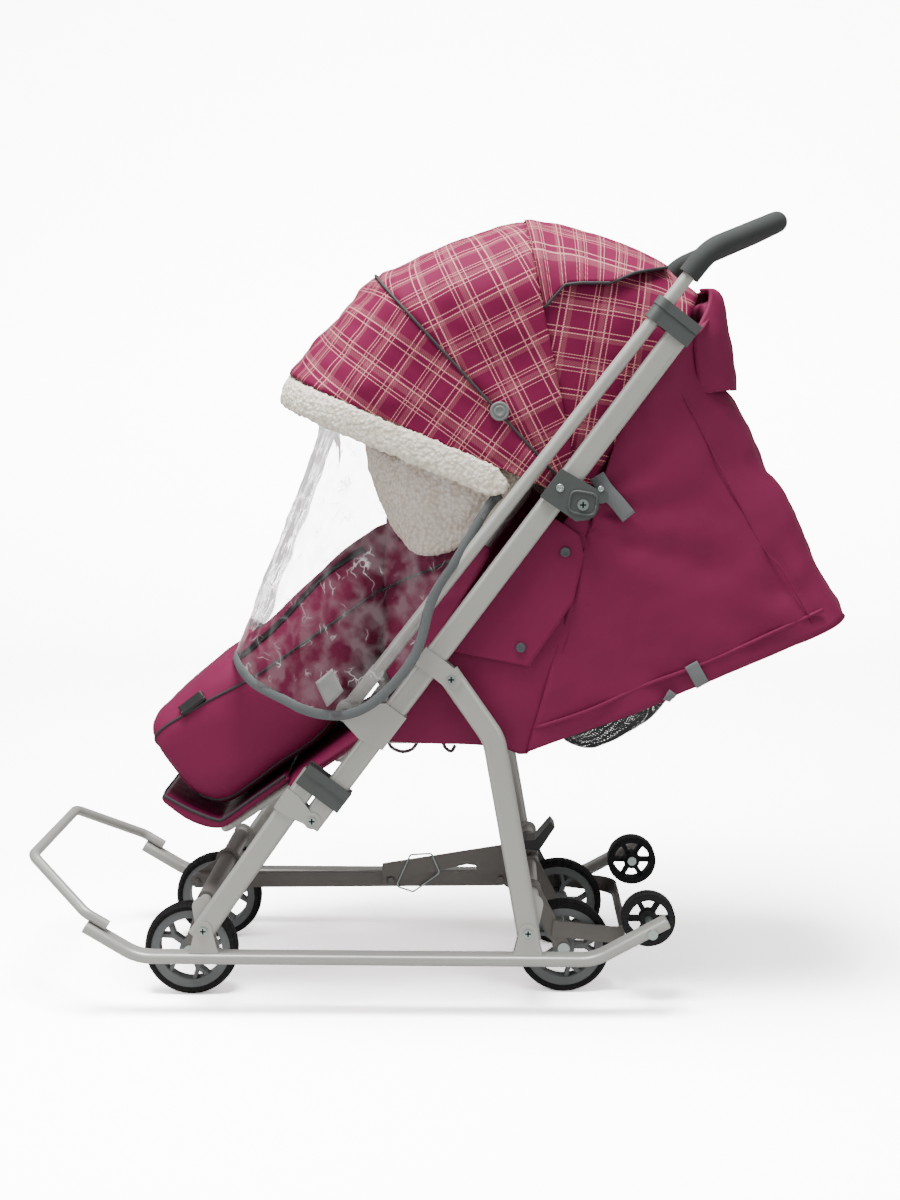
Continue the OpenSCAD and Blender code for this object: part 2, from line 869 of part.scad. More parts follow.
module gussets() {
    color(frame_paint) pair() gusset();
}

// Sheet metal over the main tube, whose ears take the rear leg's top
module strap_bracket() {
    front = -half_w - fit;
    for (s = [-1, 1]) slab(frame_y + s * (cheek_in + sheet / 2), sheet) difference() {
        union() {
            polygon([
                along(fold, main_angle, strap_at - 12, front - sheet - lap),
                along(fold, main_angle, strap_at + 14, front - sheet - lap),
                along(fold, main_angle, strap_at + 14, half_w), along(strap_pivot, main_angle, 13, 0),
                along(strap_pivot, main_angle, -13, 0), along(fold, main_angle, strap_at - 12, half_w)
            ]);
            disc(strap_pivot, 13);
        }
        disc(strap_pivot, bolt_r + fit);
    }
    fold_plate(fold, main_angle, front - sheet, strap_at - 12, strap_at + 14);
}

module strap_brackets() {
    color(frame_paint) pair() strap_bracket();
}

// The strap bolt is a headed stud in each ear, so the leg's top lies free between them
module strap_studs() {
    color(zinc) for (s = [-1, 1]) {
        outer = frame_y + s * cheek_out;
        pin(strap_pivot, outer - (s > 0 ? sheet : 0), outer + (s > 0 ? 0 : sheet), bolt_r);
        bolt_head(strap_pivot, outer, s, head_r, head_h);
    }
}

module frame_bolts() {
    pair() {
        through_bolt(fold);
        through_bolt(handle_pivot);
        strap_studs();
    }
}

// A moulded sleeve that slides on the main tube and clasps the top of the front leg
lock_at = 28;
lock_len = 31;
lock_cheek = 3.4;

module lock_sleeve() {
    reach = 2 * tube_w + 2;
    in_y = half_t + gap;
    on_line(fold, main_angle, frame_y) translate([0, 0, lock_at]) {
        for (s = [-1, 1]) translate([half_w + gap - reach, s > 0 ? in_y : -in_y - lock_cheek, 0])
            cube([reach, lock_cheek, lock_len]);
        translate([half_w + gap, -in_y - lock_cheek, 0]) cube([4.5, 2 * (in_y + lock_cheek), lock_len]);
        for (s = [-1, 1])
            translate([half_w + gap - reach, s > 0 ? in_y : -in_y - lock_cheek - 2, lock_len - 12])
                cube([reach + 4.5, lock_cheek + 2, 12]);
    }
}

module lock_sleeves() {
    color(dark_plastic) pair() lock_sleeve();
}

// A moulded block on the main tube that carries the hood's pivot
hinge_t = 9;
hinge_in = half_t + 0.1;
hood_bolt_r = 4;
hinge_reach = 46;

module hood_hinge() {
    screw = along(fold, main_angle, hood_at, -2);
    slab(frame_y + hinge_in + hinge_t / 2, hinge_t) difference() {
        union() {
            polygon([
                along(screw, main_angle, -24, -half_w), along(screw, main_angle, 20, -half_w),
                along(hood_pivot, main_angle, 26, 4), along(hood_pivot, main_angle, -4, 20),
                along(hood_pivot, main_angle, -22, 6)
            ]);
            disc(hood_pivot, 20);
            disc(along(hood_pivot, main_angle, 22, 12), 9);
        }
        disc(hood_pivot, hood_bolt_r + fit);
    }
    difference() {
        pin(hood_pivot, hood_y + 2, frame_y + hinge_in + 1, 12);
        pin(hood_pivot, hood_y + 1, frame_y + hinge_in + 2, hood_bolt_r + fit);
    }
}

module hood_hinges() {
    color(dark_plastic) pair() hood_hinge();
}

hood_step = hood_t + 1;

module hood_bolts() {
    inner = hood_y - 2 * hood_step - hood_t - 2;
    outer = frame_y + hinge_in + hinge_t;
    pair() color(zinc) {
        pin(hood_pivot, inner, outer, hood_bolt_r);
        bolt_head(hood_pivot, outer, 1, 7, head_h);
        bolt_head(hood_pivot, inner, -1, 7, head_h);
    }
}

// Handle

flat_len = 66;
handle_bend = along(handle_pivot, handle_angle, handle_len);
grip_end = along(handle_bend, grip_angle, grip_run);
handle_path = [
    at_y(along(handle_pivot, handle_angle, flat_len), -frame_y), at_y(handle_bend, -frame_y),
    at_y(grip_end, -grip_y), at_y(grip_end, grip_y), at_y(handle_bend, frame_y),
    at_y(along(handle_pivot, handle_angle, flat_len), frame_y)
];
handle_bend_r = 48;
grip_fit = 0.2;

module handle_bar() {
    color(frame_paint) {
        bent_tube(handle_path, handle_bend_r, handle_d, handle_d, tube_wall);
        pair() slab(frame_y, tube_t - 2 * gap) difference() {
            link(handle_pivot, along(handle_pivot, handle_angle, flat_len), handle_r + 0.5);
            disc(handle_pivot, bolt_r + fit);
        }
    }
}

module handle_grip() {
    start = along(handle_bend, handle_angle, -40);
    path = concat([at_y(start, -frame_y)], [for (i = [1 : 4]) handle_path[i]], [at_y(start, frame_y)]);
    color(dark_plastic) bent_tube(path, handle_bend_r, grip_d, grip_d, (grip_d - handle_d) / 2 - grip_fit);
}

// A moulded clip that slides on the handle tube and clasps the main tube's top
clip_len = 31;
clip_over = 10;
clip_wall = 4;

module handle_clip() {
    low = along(fold, main_angle, main_len + clip_over - clip_len);
    up = (low - handle_pivot) * dir(handle_angle);
    across = (low - handle_pivot) * under(handle_angle);
    reach = across + half_w + 2;
    in_y = half_t + gap;
    on_line(handle_pivot, handle_angle, frame_y) translate([0, 0, up]) difference() {
        union() {
            cylinder(r = handle_r + clip_wall, h = clip_len);
            translate([0, 0, clip_len - 12]) cylinder(r = handle_r + clip_wall + 1.5, h = 12);
            for (s = [-1, 1]) translate([0, s > 0 ? in_y : -in_y - clip_wall, 0])
                cube([reach, clip_wall, clip_len]);
            for (s = [-1, 1]) translate([0, s > 0 ? in_y : -in_y - clip_wall - 1.5, clip_len - 12])
                cube([reach, clip_wall + 1.5, 12]);
            translate([0, -in_y - 1, clip_len - clip_over + 1.6]) cube([reach, 2 * in_y + 2, clip_over - 1.6]);
        }
        translate([0, 0, -1]) cylinder(r = handle_r + fit, h = clip_len + 2);
    }
}

module handle_clips() {
    color(dark_plastic) pair() handle_clip();
}

// Seat, backrest and footrest

seat_front = [seat_front_x, seat_z];
seat_rear = [seat_rear_x, seat_z];

module seat_frame() {
    path = [
        [seat_front_x, 0, seat_z], [seat_front_x, seat_y, seat_z], [seat_rear_x, seat_y, seat_z],
        [seat_rear_x, -seat_y, seat_z], [seat_front_x, -seat_y, seat_z], [seat_front_x, 0, seat_z]
    ];
    post = [[seat_front_x + 30, seat_y, seat_z], at_y(seat_post, seat_y), at_y(seat_post, inner_face - gap)];
    color(frame_paint) {
        bent_tube(path, 20, seat_d, seat_d, tube_wall);
        pair() bent_tube(post, 12, seat_d - 2, seat_d - 2);
    }
}

// Where the seat frame meets the gussets
seat_post = along(fold, main_angle, handle_at + 2, 0);

// A pad with a crown, whose sides draw in between the corners
function pad(len_x, len_y, t, crown, draw, s) = [
    for (u = [-1 : 0.25 : 1]) [
        for (v = [-1 : 0.25 : 1]) [
            u * (len_x / 2 - draw * (1 - v * v)), v * (len_y / 2 - draw * (1 - u * u)),
            s * (t / 2 + crown * (1 - pow(u, 4)) * (1 - pow(v, 4)))
        ]
    ]
];

module cushion(len_x, len_y, t) {
    crown = 6;
    edge = t - 2 * crown;
    skin(pad(len_x, len_y, edge, crown, 5, 1), pad(len_x, len_y, edge, crown, 5, -1));
}

module seat_pad() {
    span = seat_rear_x - seat_front_x - 2 * seat_d;
    color(cloth) translate([(seat_front_x + seat_rear_x) / 2, 0, seat_z + seat_r + 1 + pad_t / 2])
        cushion(span, 2 * seat_y - 8, pad_t);
}

panel_y = hood_y - 4;
panel_t = 4;

// The cloth side of the seat, with the buttoned wing flap sewn on it
module side_panel() {
    top = along(hood_pivot, main_angle, -44, 0);
    slab(panel_y, panel_t) polygon([
        [seat_front_x + 30, seat_z - 2], along(fold, main_angle, handle_at + 30, 8), top,
        hood_pivot + [6, -44], [seat_rear_x - 13, seat_z + 9],
        [seat_rear_x - 90, seat_z - 2]
    ]);
    slab(panel_y + panel_t / 2 + 1.5, 3) polygon([
        along(fold, main_angle, strap_at + 12, 4), along(hood_pivot, main_angle, -52, -34),
        hood_pivot + [-5, -40], hood_pivot + [1, -66], hood_pivot + [-11, -124], hood_pivot + [-68, -210],
        hood_pivot + [-174, -189]
    ]);
}

module side_panels() {
    color(cloth) pair() side_panel();
}

rail_y = seat_y - 34;
rail_r = 6;
rail_lift = 8;

// Two rails that hinge on the seat's rear tube, joined at the head
module backrest_frame() {
    head = along(seat_rear, recline, back_len - 20);
    path = [at_y(along(seat_rear, recline, seat_r + 4), -rail_y), at_y(head, -rail_y), at_y(head, rail_y),
        at_y(along(seat_rear, recline, seat_r + 4), rail_y)];
    color(frame_paint) {
        bent_tube(path, 30, 2 * rail_r, 2 * rail_r, tube_wall);
        pair() slab(rail_y, 2 * rail_r) translate(seat_rear) ring(seat_r + 5, seat_r + fit);
    }
}

module backrest_pad() {
    near = seat_d + pad_t;
    far = back_len - 22;
    middle = along(seat_rear, recline, (near + far) / 2);
    color(cloth) translate([middle.x, 0, middle.y]) rotate([0, -recline, 0])
        translate([0, 0, rail_r + 1 + pad_t / 2]) cushion(far - near, 2 * seat_y - 28, pad_t);
}

calf_y = 132;
calf_r = 6;
heel = along(seat_front, 180 + calf_angle, calf_len);
board_t = 10;

module footrest_frame() {
    start = along(seat_front, 180 + calf_angle, seat_r + 4);
    path = [at_y(start, -calf_y), at_y(heel, -calf_y), at_y(heel, calf_y), at_y(start, calf_y)];
    color(frame_paint) {
        bent_tube(path, 20, 2 * calf_r, 2 * calf_r, tube_wall);
        pair() slab(calf_y, 2 * calf_r) translate(seat_front) ring(seat_r + 5, seat_r + fit);
    }
}

// Calf rest and foot plate, a bent board covered in vinyl
module footrest_board() {
    lift = calf_r + 0.5;
    low = along(heel, calf_angle, 8, -lift);
    up = along(heel, calf_angle, 112, -lift);
    toe = low + foot_len * [-cos(foot_angle), sin(foot_angle)];
    color(cloth) slab(0, 300) polygon([
        up, along(up, calf_angle, 0, -board_t), low + [0, board_t + 3], toe + [2, board_t],
        toe + [-8, 4], low - [7, 0]
    ]);
}

// A ring of points in a tilted cross-section from base to top, drawn across the stroller
function muff_ring(base, top, half, n = 20) = [
    for (k = [0 : n - 1])
        let (a = 360 * k / n, c = cos(a), s = sin(a),
            y = half * sign(c) * pow(abs(c), 0.55), t = 0.5 + 0.5 * sign(s) * pow(abs(s), 0.6))
        at_y(mix(base, top, t), y)
];

// A deep pocket for the legs, open at its upper end
module foot_muff() {
    base_off = calf_r + board_t + 4;
    wall = 6;
    function base(d) = along(heel, calf_angle, d, -base_off);
    lows = [
        base(-8) + [-18, 34], base(0) + [-4, 20], base(30), base(110), base(170), base(215) + [0, 20],
        base(250) + [20, 66]
    ];
    tops = [
        base(-8) + [-64, 100], base(-8) + [-78, 134], base(30) + [-46, 172], base(110) + [-40, 178],
        base(170) + [-22, 208], base(215) + [4, 236], base(240) + [32, 250]
    ];
    halves = [118, 142, 148, 148, 146, 138, 104];
    inward = [for (i = [0 : 6]) wall * unit(tops[i] - lows[i])];
    ends = [[14, 9], [6, 4], [0, 0], [0, 0], [0, 0], [0, 0], [12, 9]];
    color(cloth) difference() {
        loft([for (i = [0 : 6]) muff_ring(lows[i], tops[i], halves[i])]);
        loft([
            for (i = [0 : 6])
                muff_ring(lows[i] + inward[i] + ends[i], tops[i] - inward[i] + ends[i], halves[i] - wall)
        ]);
    }
}

// Hood: three cloth sections that nest as they turn about the hood pivot

hood_root = 14;

// Half-section of a hoop from the near hinge over the top to the far hinge, as [y, radius]
function hoop(r, w) = concat(
    [[-w, hood_root], [-w, mix(hood_root, r - hood_dome, 0.5)]],
    [
        for (a = [0 : 15 : 180])
            [-w * sign(cos(a)) * pow(abs(cos(a)), 0.7), r - hood_dome + hood_dome * pow(sin(a), 0.7)]
    ],
    [[w, mix(hood_root, r - hood_dome, 0.5)], [w, hood_root]]
);

function hood_grid(a0, a1, r0, r1, sag, w, inset) = [
    for (t = [0 : 0.2 : 1])
        let (a = mix(a0, a1, t), r = mix(r0, r1, t) - sag * sin(180 * t))
        [for (h = hoop(r - inset, w - inset)) at_y(hood_pivot + h[1] * dir(a), h[0])]
];

module hood_section(a0, a1, r0, r1, sag, w) {
    skin(hood_grid(a0, a1, r0, r1, sag, w, 0), hood_grid(a0, a1, r0, r1, sag, w, hood_t));
    pair() difference() {
        pin(hood_pivot, w - hood_t, w, hood_root + 6);
        pin(hood_pivot, w - hood_t - 1, w + 1, hood_bolt_r + fit);
    }
}

front_a = 157;
second_a = 135;
third_a = 101.5;
rear_a = 60;
seam = 0.2;

module hood_front() {
    color(cloth)
        hood_section(front_a, second_a + seam, hood_front_r, hood_second_r + hood_step, 5, hood_y);
}

module hood_middle() {
    color(cloth) hood_section(
        second_a - seam, third_a + seam, hood_second_r, hood_third_r + hood_step, 5, hood_y - hood_step);
}

module hood_rear() {
    color(cloth) hood_section(third_a - seam, rear_a, hood_third_r, hood_rear_r, 4, hood_y - 2 * hood_step);
}

// A fat roll of fleece round the hood's front edge
function trim_ring(h, half, thick) = [
    for (k = [0 : 7])
        let (a = 45 * k, r = max(1, h[1]), turn_by = (half * cos(a) + half) / r * 180 / PI)
        at_y(hood_pivot + (h[1] + thick * sin(a) * 0.7) * dir(front_a + 0.2 + turn_by),
            h[0] * (1 + 0.015 * sin(a)))
];

module sherpa_trim() {
    path = [for (h = hoop(hood_front_r - 4, hood_y + 1)) if (h[1] > 90) h];
    color(fleece) loft([for (h = path) trim_ring(h, trim_w / 2, 7)]);
}

// A clear sheet from the hood's front edge down over the muff
rain_t = 2;
rain_y = hood_y - 8;

function rain_edge(t) = let (k = [
        hood_pivot + [-98, -4], hood_pivot + [-150, -78], hood_pivot + [-194, -170],
        hood_pivot + [-262, -252], hood_pivot + [-318, -268], hood_pivot + [-400, -236],
        hood_pivot + [-456, -190], hood_pivot + [-480, -202]
    ], s = t * (len(k) - 1), i = min(floor(s), len(k) - 2)) mix(k[i], k[i + 1], s - i);

function rain_top(t) =
    hood_pivot + mix(100, hood_front_r - 12, min(1, t * 1.45)) * dir(front_a + 6.4 + 6 * (1 - t));

function rain_cols() = [for (t = [0 : 1 / 14 : 1]) t];

function rain_wide(t) = t < 0.62 ? 1 : cos(90 * (t - 0.62) / 0.38);

function rain_grid(inset) = [
    for (v = [0 : 0.2 : 1]) concat(
        [for (t = rain_cols()) at_y(mix(rain_top(t), rain_edge(t), v) + inset * [0.8, 0.1],
            -(rain_y - inset) * rain_wide(t))],
        [for (k = [13 : -1 : 0]) let (t = k / 14) at_y(mix(rain_top(t), rain_edge(t), v) + inset * [0.8, 0.1],
            (rain_y - inset) * rain_wide(t))]
    )
];

module rain_cover() {
    color("#dfe6ea", 0.4) skin(rain_grid(0), rain_grid(rain_t));
}

// The cloth bay behind the seat: two sides and a back between the main tubes and the reclined backrest
shell_t = 4;
// The back's swell at half height, and how far it is drawn in below its top edge
bay_swell = 10;
bay_tuck = 40;

function bay_top() = [
    at_y(hood_pivot + [12, -40], -panel_y),
    at_y(along(fold, main_angle, mix(hood_at, main_len, 0.5), 20), -panel_y),
    at_y(along(main_top, main_angle, -20, 20), -panel_y), at_y(hood_pivot + [154, 226], -168),
    at_y(hood_pivot + [172, 256], -110), at_y(hood_pivot + [174, 260], 0)
];

function bay_base() = [
    at_y(seat_rear + [-9, 8], -panel_y), at_y(along(seat_rear, recline, 130, 0), -panel_y),
    at_y(along(seat_rear, recline, 290, 0), -panel_y + 4),
    at_y(along(seat_rear, recline, back_len - 16, 2), -172),
    at_y(along(seat_rear, recline, back_len + 14, -4), -120),
    at_y(along(seat_rear, recline, back_len + 18, -4), 0)
];

function bay_row(v, inset) = let (
        half = [
            for (i = [0 : 5])
                let (top = bay_top()[i], base = bay_base()[i], p = mix(top, base, v),
                    swell = bay_swell * sin(180 * v) * (i > 2 ? 1 : 0.2),
                    tuck = bay_tuck * sin(180 * sqrt(v)))
                [p.x + (i > 2 ? swell * 0.8 - tuck - inset : 0), i == 5 ? 0 : p.y - swell * 0.3 + inset, p.z]
        ])
    concat(half, [for (i = [4 : -1 : 0]) [half[i].x, -half[i].y, half[i].z]]);

function bay_grid(inset) = [for (v = [0 : 0.125 : 1]) bay_row(v, inset)];

module back_shell() {
    color(cloth) skin(bay_grid(0), bay_grid(shell_t));
}

// A net bag under the backrest, open along its upper edge
net_t = 2;

module mesh_pocket() {
    half = 130;
    function low(d, s) = along(seat_rear, recline, d, s);
    outline = [low(40, rail_r + 4), low(36, 30), low(62, 52), low(100, 54), low(150, 44), low(190, 20),
        low(192, rail_r + 4)];
    inside = [low(40 + net_t, rail_r + 2), low(36 + net_t, 30 - net_t), low(62, 52 - net_t),
        low(100, 54 - net_t), low(150, 44 - net_t), low(190 - net_t, 20), low(192 - net_t, rail_r + 2)];
    color(black) difference() {
        slab(0, 2 * half) polygon(outline);
        slab(0, 2 * (half - net_t)) polygon(inside);
    }
}

runner_left();
runner_right();
front_arch();
runner_brackets();
bracket_bolts();
front_cross_tube();
rear_cross_tube();
transport_bolts();
transport_wheel_left();
transport_wheel_right();
front_arms();
front_lever();
front_axle();
rear_arms();
rear_lever();
rear_axle();
step_bar();
connecting_rod();
pedal_lever();
pedal_pad();
latch_wire();
front_rim_left();
front_rim_right();
rear_rim_left();
rear_rim_right();
front_tyre_left();
front_tyre_right();
rear_tyre_left();
rear_tyre_right();
front_leg_left();
front_leg_right();
leg_sleeves();
rear_leg_left();
rear_leg_right();
main_tube_left();
main_tube_right();
gussets();
strap_brackets();
frame_bolts();
lock_sleeves();
hood_hinges();
hood_bolts();
handle_bar();
handle_grip();
handle_clips();
seat_frame();
seat_pad();
side_panels();
backrest_frame();
backrest_pad();
footrest_frame();
footrest_board();
foot_muff();
hood_front();
sherpa_trim();
hood_middle();
hood_rear();
rain_cover();
back_shell();
mesh_pocket();
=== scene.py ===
"""Looks of the sled stroller: finishes on the CAD frame, and the soft goods sewn round it."""
from math import asin, atan2, copysign, cos, exp, pi, sin, sqrt

import bpy
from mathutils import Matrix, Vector, noise


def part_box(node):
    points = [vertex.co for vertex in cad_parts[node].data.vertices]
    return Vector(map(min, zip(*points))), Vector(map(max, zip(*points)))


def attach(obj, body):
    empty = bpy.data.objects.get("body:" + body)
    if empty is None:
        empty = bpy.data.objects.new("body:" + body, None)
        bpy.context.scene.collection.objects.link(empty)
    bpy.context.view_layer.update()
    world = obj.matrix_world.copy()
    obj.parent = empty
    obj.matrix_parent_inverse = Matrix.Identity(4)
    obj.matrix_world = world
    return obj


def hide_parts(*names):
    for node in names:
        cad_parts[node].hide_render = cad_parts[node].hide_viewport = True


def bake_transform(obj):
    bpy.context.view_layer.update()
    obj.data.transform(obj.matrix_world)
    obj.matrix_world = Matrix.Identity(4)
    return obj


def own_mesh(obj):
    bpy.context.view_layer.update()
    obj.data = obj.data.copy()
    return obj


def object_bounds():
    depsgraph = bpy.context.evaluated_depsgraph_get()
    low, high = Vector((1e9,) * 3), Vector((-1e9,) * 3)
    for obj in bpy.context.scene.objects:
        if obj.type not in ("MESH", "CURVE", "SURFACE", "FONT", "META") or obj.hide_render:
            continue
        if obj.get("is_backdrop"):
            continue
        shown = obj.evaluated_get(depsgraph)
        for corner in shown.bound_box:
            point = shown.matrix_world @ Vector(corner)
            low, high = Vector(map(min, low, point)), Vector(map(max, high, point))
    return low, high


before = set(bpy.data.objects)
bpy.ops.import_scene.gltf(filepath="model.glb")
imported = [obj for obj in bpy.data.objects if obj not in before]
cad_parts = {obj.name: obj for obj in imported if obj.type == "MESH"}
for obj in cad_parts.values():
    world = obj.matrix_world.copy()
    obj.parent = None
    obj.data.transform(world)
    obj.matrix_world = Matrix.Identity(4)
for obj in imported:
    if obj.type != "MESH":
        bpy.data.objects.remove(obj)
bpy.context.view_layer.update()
bpy.ops.object.select_all(action="DESELECT")


# Sled and folding frame
# Flat oval steel tube, bent cold and powder coated in a pale silver grey, with pressed brackets in the same coat.
# Zinc-plated bolts and axles join them.
def srgb(code):
    """The linear colour of an sRGB hex code."""
    parts = [int(code[i : i + 2], 16) / 255 for i in (1, 3, 5)]
    return [c / 12.92 if c <= 0.04045 else ((c + 0.055) / 1.055) ** 2.4 for c in parts] + [1]


def add(tree, kind, inputs=None, **settings):
    """Adds a shader node, sets it, feeds its inputs with values or links, and returns its outputs."""
    made = tree.nodes.new("ShaderNode" + kind)
    for key, value in settings.items():
        setattr(made, key, value)
    for key, value in (inputs or {}).items():
        if isinstance(value, bpy.types.NodeSocket):
            tree.links.new(value, made.inputs[key])
        else:
            made.inputs[key].default_value = value
    return made.outputs


def feed(tree, socket, value):
    """Links a value to an input of the material's shader."""
    tree.links.new(value, tree.nodes["Principled BSDF"].inputs[socket])


def finish(name, colour, rough, grain=None, bump=0.0, shade=0.0, **sockets):
    """A finish with a grain of so many mm, which roughens it by bump and darkens it by shade."""
    mat = bpy.data.materials.new(name)
    mat.use_nodes = True
    tree = mat.node_tree
    shader = tree.nodes["Principled BSDF"]
    for key, value in {"Base_Color": srgb(colour), "Roughness": rough, **sockets}.items():
        shader.inputs[key.replace("_", " ")].default_value = value
    if grain:
        where = add(tree, "TexCoord")["Object"]
        speck = add(tree, "TexNoise", {"Vector": where, "Scale": 1000 / grain, "Detail": 3.0})["Fac"]
        if bump:
            relief = add(tree, "Bump", {"Strength": bump, "Distance": grain * 0.0003, "Height": speck})
            feed(tree, "Normal", relief["Normal"])
        if shade:
            dark = [c * (1 - shade) for c in srgb(colour)[:3]] + [1]
            tone = add(tree, "Mix", {"Factor": speck, "A": srgb(colour), "B": dark}, data_type="RGBA")
            feed(tree, "Base Color", tone["Result"])
    return mat


def wear(mat, *names):
    """Gives CAD nodes their finish."""
    for name in names:
        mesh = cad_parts[name].data
        mesh.materials.clear()
        mesh.materials.append(mat)


# Powder coat with a fine orange peel
coat = finish("powder_coat", "#a9a9a4", 0.36, grain=2.5, bump=0.10, Metallic=0.25)
wear(
    coat, "runner_left", "runner_right", "front_arch", "runner_brackets", "front_cross_tube", "rear_cross_tube",
    "front_leg_left", "front_leg_right", "leg_sleeves", "rear_leg_left", "rear_leg_right", "main_tube_left",
    "main_tube_right", "gussets", "strap_brackets", "seat_frame", "backrest_frame", "footrest_frame", "handle_bar",
)
# The lift's pressed arms, lever and rod, low in the shade under the seat, have a duller coat that painted shade makes
# darker
dull_coat_painted_shade = finish("dull_coat_painted_shade", "#67635f", 0.45, grain=2.5, bump=0.12, Metallic=0.2)
wear(dull_coat_painted_shade, "front_arms", "front_lever", "rear_arms", "rear_lever", "step_bar", "connecting_rod", "pedal_lever")


def zinc_plate(name, heads=()):
    """Bright zinc plate, with painted shade in a dark cross for the recess in the screw heads at x, z in mm."""
    plate, recess_shade, half_slot, half_cross = "#a3b0ac", "#161b1a", 0.001, 0.004
    mat = finish(name, plate, 0.28, grain=1.2, bump=0.15, Metallic=0.9)
    tree = mat.node_tree
    where = add(tree, "TexCoord")["Object"]
    recess_shade_mask = 0.0
    for x, z in heads:
        off = add(tree, "VectorMath", {0: where, 1: (-0.001 * x, 0, -0.001 * z)}, operation="ADD")["Vector"]
        axes = add(tree, "SeparateXYZ", {"Vector": add(tree, "VectorMath", {0: off}, operation="ABSOLUTE")["Vector"]})
        thin = add(tree, "Math", {0: axes["X"], 1: axes["Z"]}, operation="MINIMUM")["Value"]
        long = add(tree, "Math", {0: axes["X"], 1: axes["Z"]}, operation="MAXIMUM")["Value"]
        bar = add(tree, "Math", {0: thin, 1: half_slot}, operation="LESS_THAN")["Value"]
        near = add(tree, "Math", {0: long, 1: half_cross}, operation="LESS_THAN")["Value"]
        recess_shade_mask = add(tree, "Math", {0: bar, 1: near, 2: recess_shade_mask}, operation="MULTIPLY_ADD", use_clamp=True)["Value"]
    # Painted shade: the dark cross stands for the shade inside each head's recess
    if heads:
        tone = add(tree, "Mix", {"Factor": recess_shade_mask, "A": srgb(plate), "B": srgb(recess_shade)}, data_type="RGBA")
        feed(tree, "Base Color", tone["Result"])
    return mat


zinc = zinc_plate("zinc_plate")
wear(zinc, "transport_bolts", "front_axle", "rear_axle", "latch_wire")
wear(zinc_plate("zinc_bracket_screws", [(-295, 113), (127, 113)]), "bracket_bolts")
wear(zinc_plate("zinc_frame_screws", [(-152, 260), (-107.8, 402.9), (27.5, 445.5)]), "frame_bolts")
wear(zinc_plate("zinc_hinge_screws", [(192.8, 669)]), "hood_bolts")

# Wheels and mouldings
# Injection-moulded rims, wheels, sleeves and clips in grey and black plastic, with a fine spark-eroded texture.
# The tyres are solid black rubber, pressed on the rims.
grey_plastic = finish("grey_plastic", "#434846", 0.48, grain=0.9, bump=0.22)
wear(grey_plastic, "lock_sleeves", "hood_hinges", "handle_clips")
wear(finish("black_plastic", "#17181a", 0.42, grain=0.9, bump=0.2), "pedal_pad")
rim_plastic = finish("rim_plastic", "#636667", 0.45, grain=0.9, bump=0.15)
wear(rim_plastic, "front_rim_left", "front_rim_right", "rear_rim_left", "rear_rim_right")


def tread(name, colour, x, z, lugs, depth):
    """Moulded lugs of so many mm, evenly round an axle at x, z in mm."""
    mat = finish(name, colour, 0.72, Specular_IOR_Level=0.3)
    tree = mat.node_tree
    at = add(tree, "SeparateXYZ", {"Vector": add(tree, "TexCoord")["Object"]})
    run = add(tree, "Math", {0: at["X"], 1: 0.001 * x}, operation="SUBTRACT")["Value"]
    rise = add(tree, "Math", {0: at["Z"], 1: 0.001 * z}, operation="SUBTRACT")["Value"]
    turn = add(tree, "Math", {0: rise, 1: run}, operation="ARCTAN2")["Value"]
    slant = add(tree, "Math", {0: at["Y"], 1: 40.0}, operation="MULTIPLY")["Value"]
    phase = add(tree, "Math", {0: turn, 1: lugs, 2: slant}, operation="MULTIPLY_ADD")["Value"]
    wave = add(tree, "Math", {0: phase}, operation="SINE")["Value"]
    block = add(tree, "MapRange", {"Value": wave, "From Min": -0.25, "From Max": 0.25})["Result"]
    relief = add(tree, "Bump", {"Strength": 0.9, "Distance": 0.001 * depth, "Height": block})
    feed(tree, "Normal", relief["Normal"])
    return mat


for end, x in (("front", -325), ("rear", 177)):
    rubber = tread(f"tyre_rubber_{end}", "#0d0c0c", x, 63.5, lugs=34, depth=1.2)
    wear(rubber, f"{end}_tyre_left", f"{end}_tyre_right")
knurl = tread("knurled_plastic", "#17181a", 287.4, 114.5, lugs=40, depth=0.8)
wear(knurl, "transport_wheel_left", "transport_wheel_right")

# Handle
# The same coated tube, round here, with a grip of closed-cell foam hose pulled over the U.
wear(finish("grip_foam", "#323634", 0.88, grain=0.7, bump=0.5, shade=0.2), "handle_grip")


# Footrest board
# A bent ply board wrapped in coated cloth, with glossy vinyl on the tread and grey piping round its edge.
def new_piece(name, points, faces, mat):
    """An object with a smooth mesh on points in mm, active and selected."""
    mesh = bpy.data.meshes.new(name)
    mesh.from_pydata([0.001 * Vector(p) for p in points], [], faces)
    mesh.materials.append(mat)
    piece = bpy.data.objects.new(name, mesh)
    bpy.context.scene.collection.objects.link(piece)
    bpy.context.view_layer.objects.active = piece
    piece.select_set(True)
    bpy.ops.object.shade_smooth()
    return piece


def place(name, points, faces, mat, body):
    """Makes a closed piece from points in mm, and hangs it on a CAD body."""
    piece = new_piece(name, points, faces, mat)
    bpy.ops.object.mode_set(mode="EDIT")
    bpy.ops.mesh.select_all(action="SELECT")
    bpy.ops.mesh.remove_doubles(threshold=1e-5)
    bpy.ops.mesh.normals_make_consistent(inside=False)
    bpy.ops.object.mode_set(mode="OBJECT")
    piece.select_set(False)
    if body:
        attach(piece, body)
    return piece


def net_faces(n, m, first=0, closed=False):
    """The faces of n rows of m points, counted from first; in a closed net the ends of a row meet."""
    return [
        [first + k for k in (i * m + j, i * m + (j + 1) % m, (i + 1) * m + (j + 1) % m, (i + 1) * m + j)]
        for i in range(n - 1)
        for j in range(m if closed else m - 1)
    ]


def loft(name, rings, mat, body):
    """A closed skin over rings of points, capped at both ends."""
    n, m = len(rings), len(rings[0])
    caps = [range(m), range((n - 1) * m, n * m)]
    return place(name, [p for ring in rings for p in ring], net_faces(n, m, closed=True) + caps, mat, body)


def clamp(value):
    """A value held between 0 and 1."""
    return min(1.0, max(0.0, value))


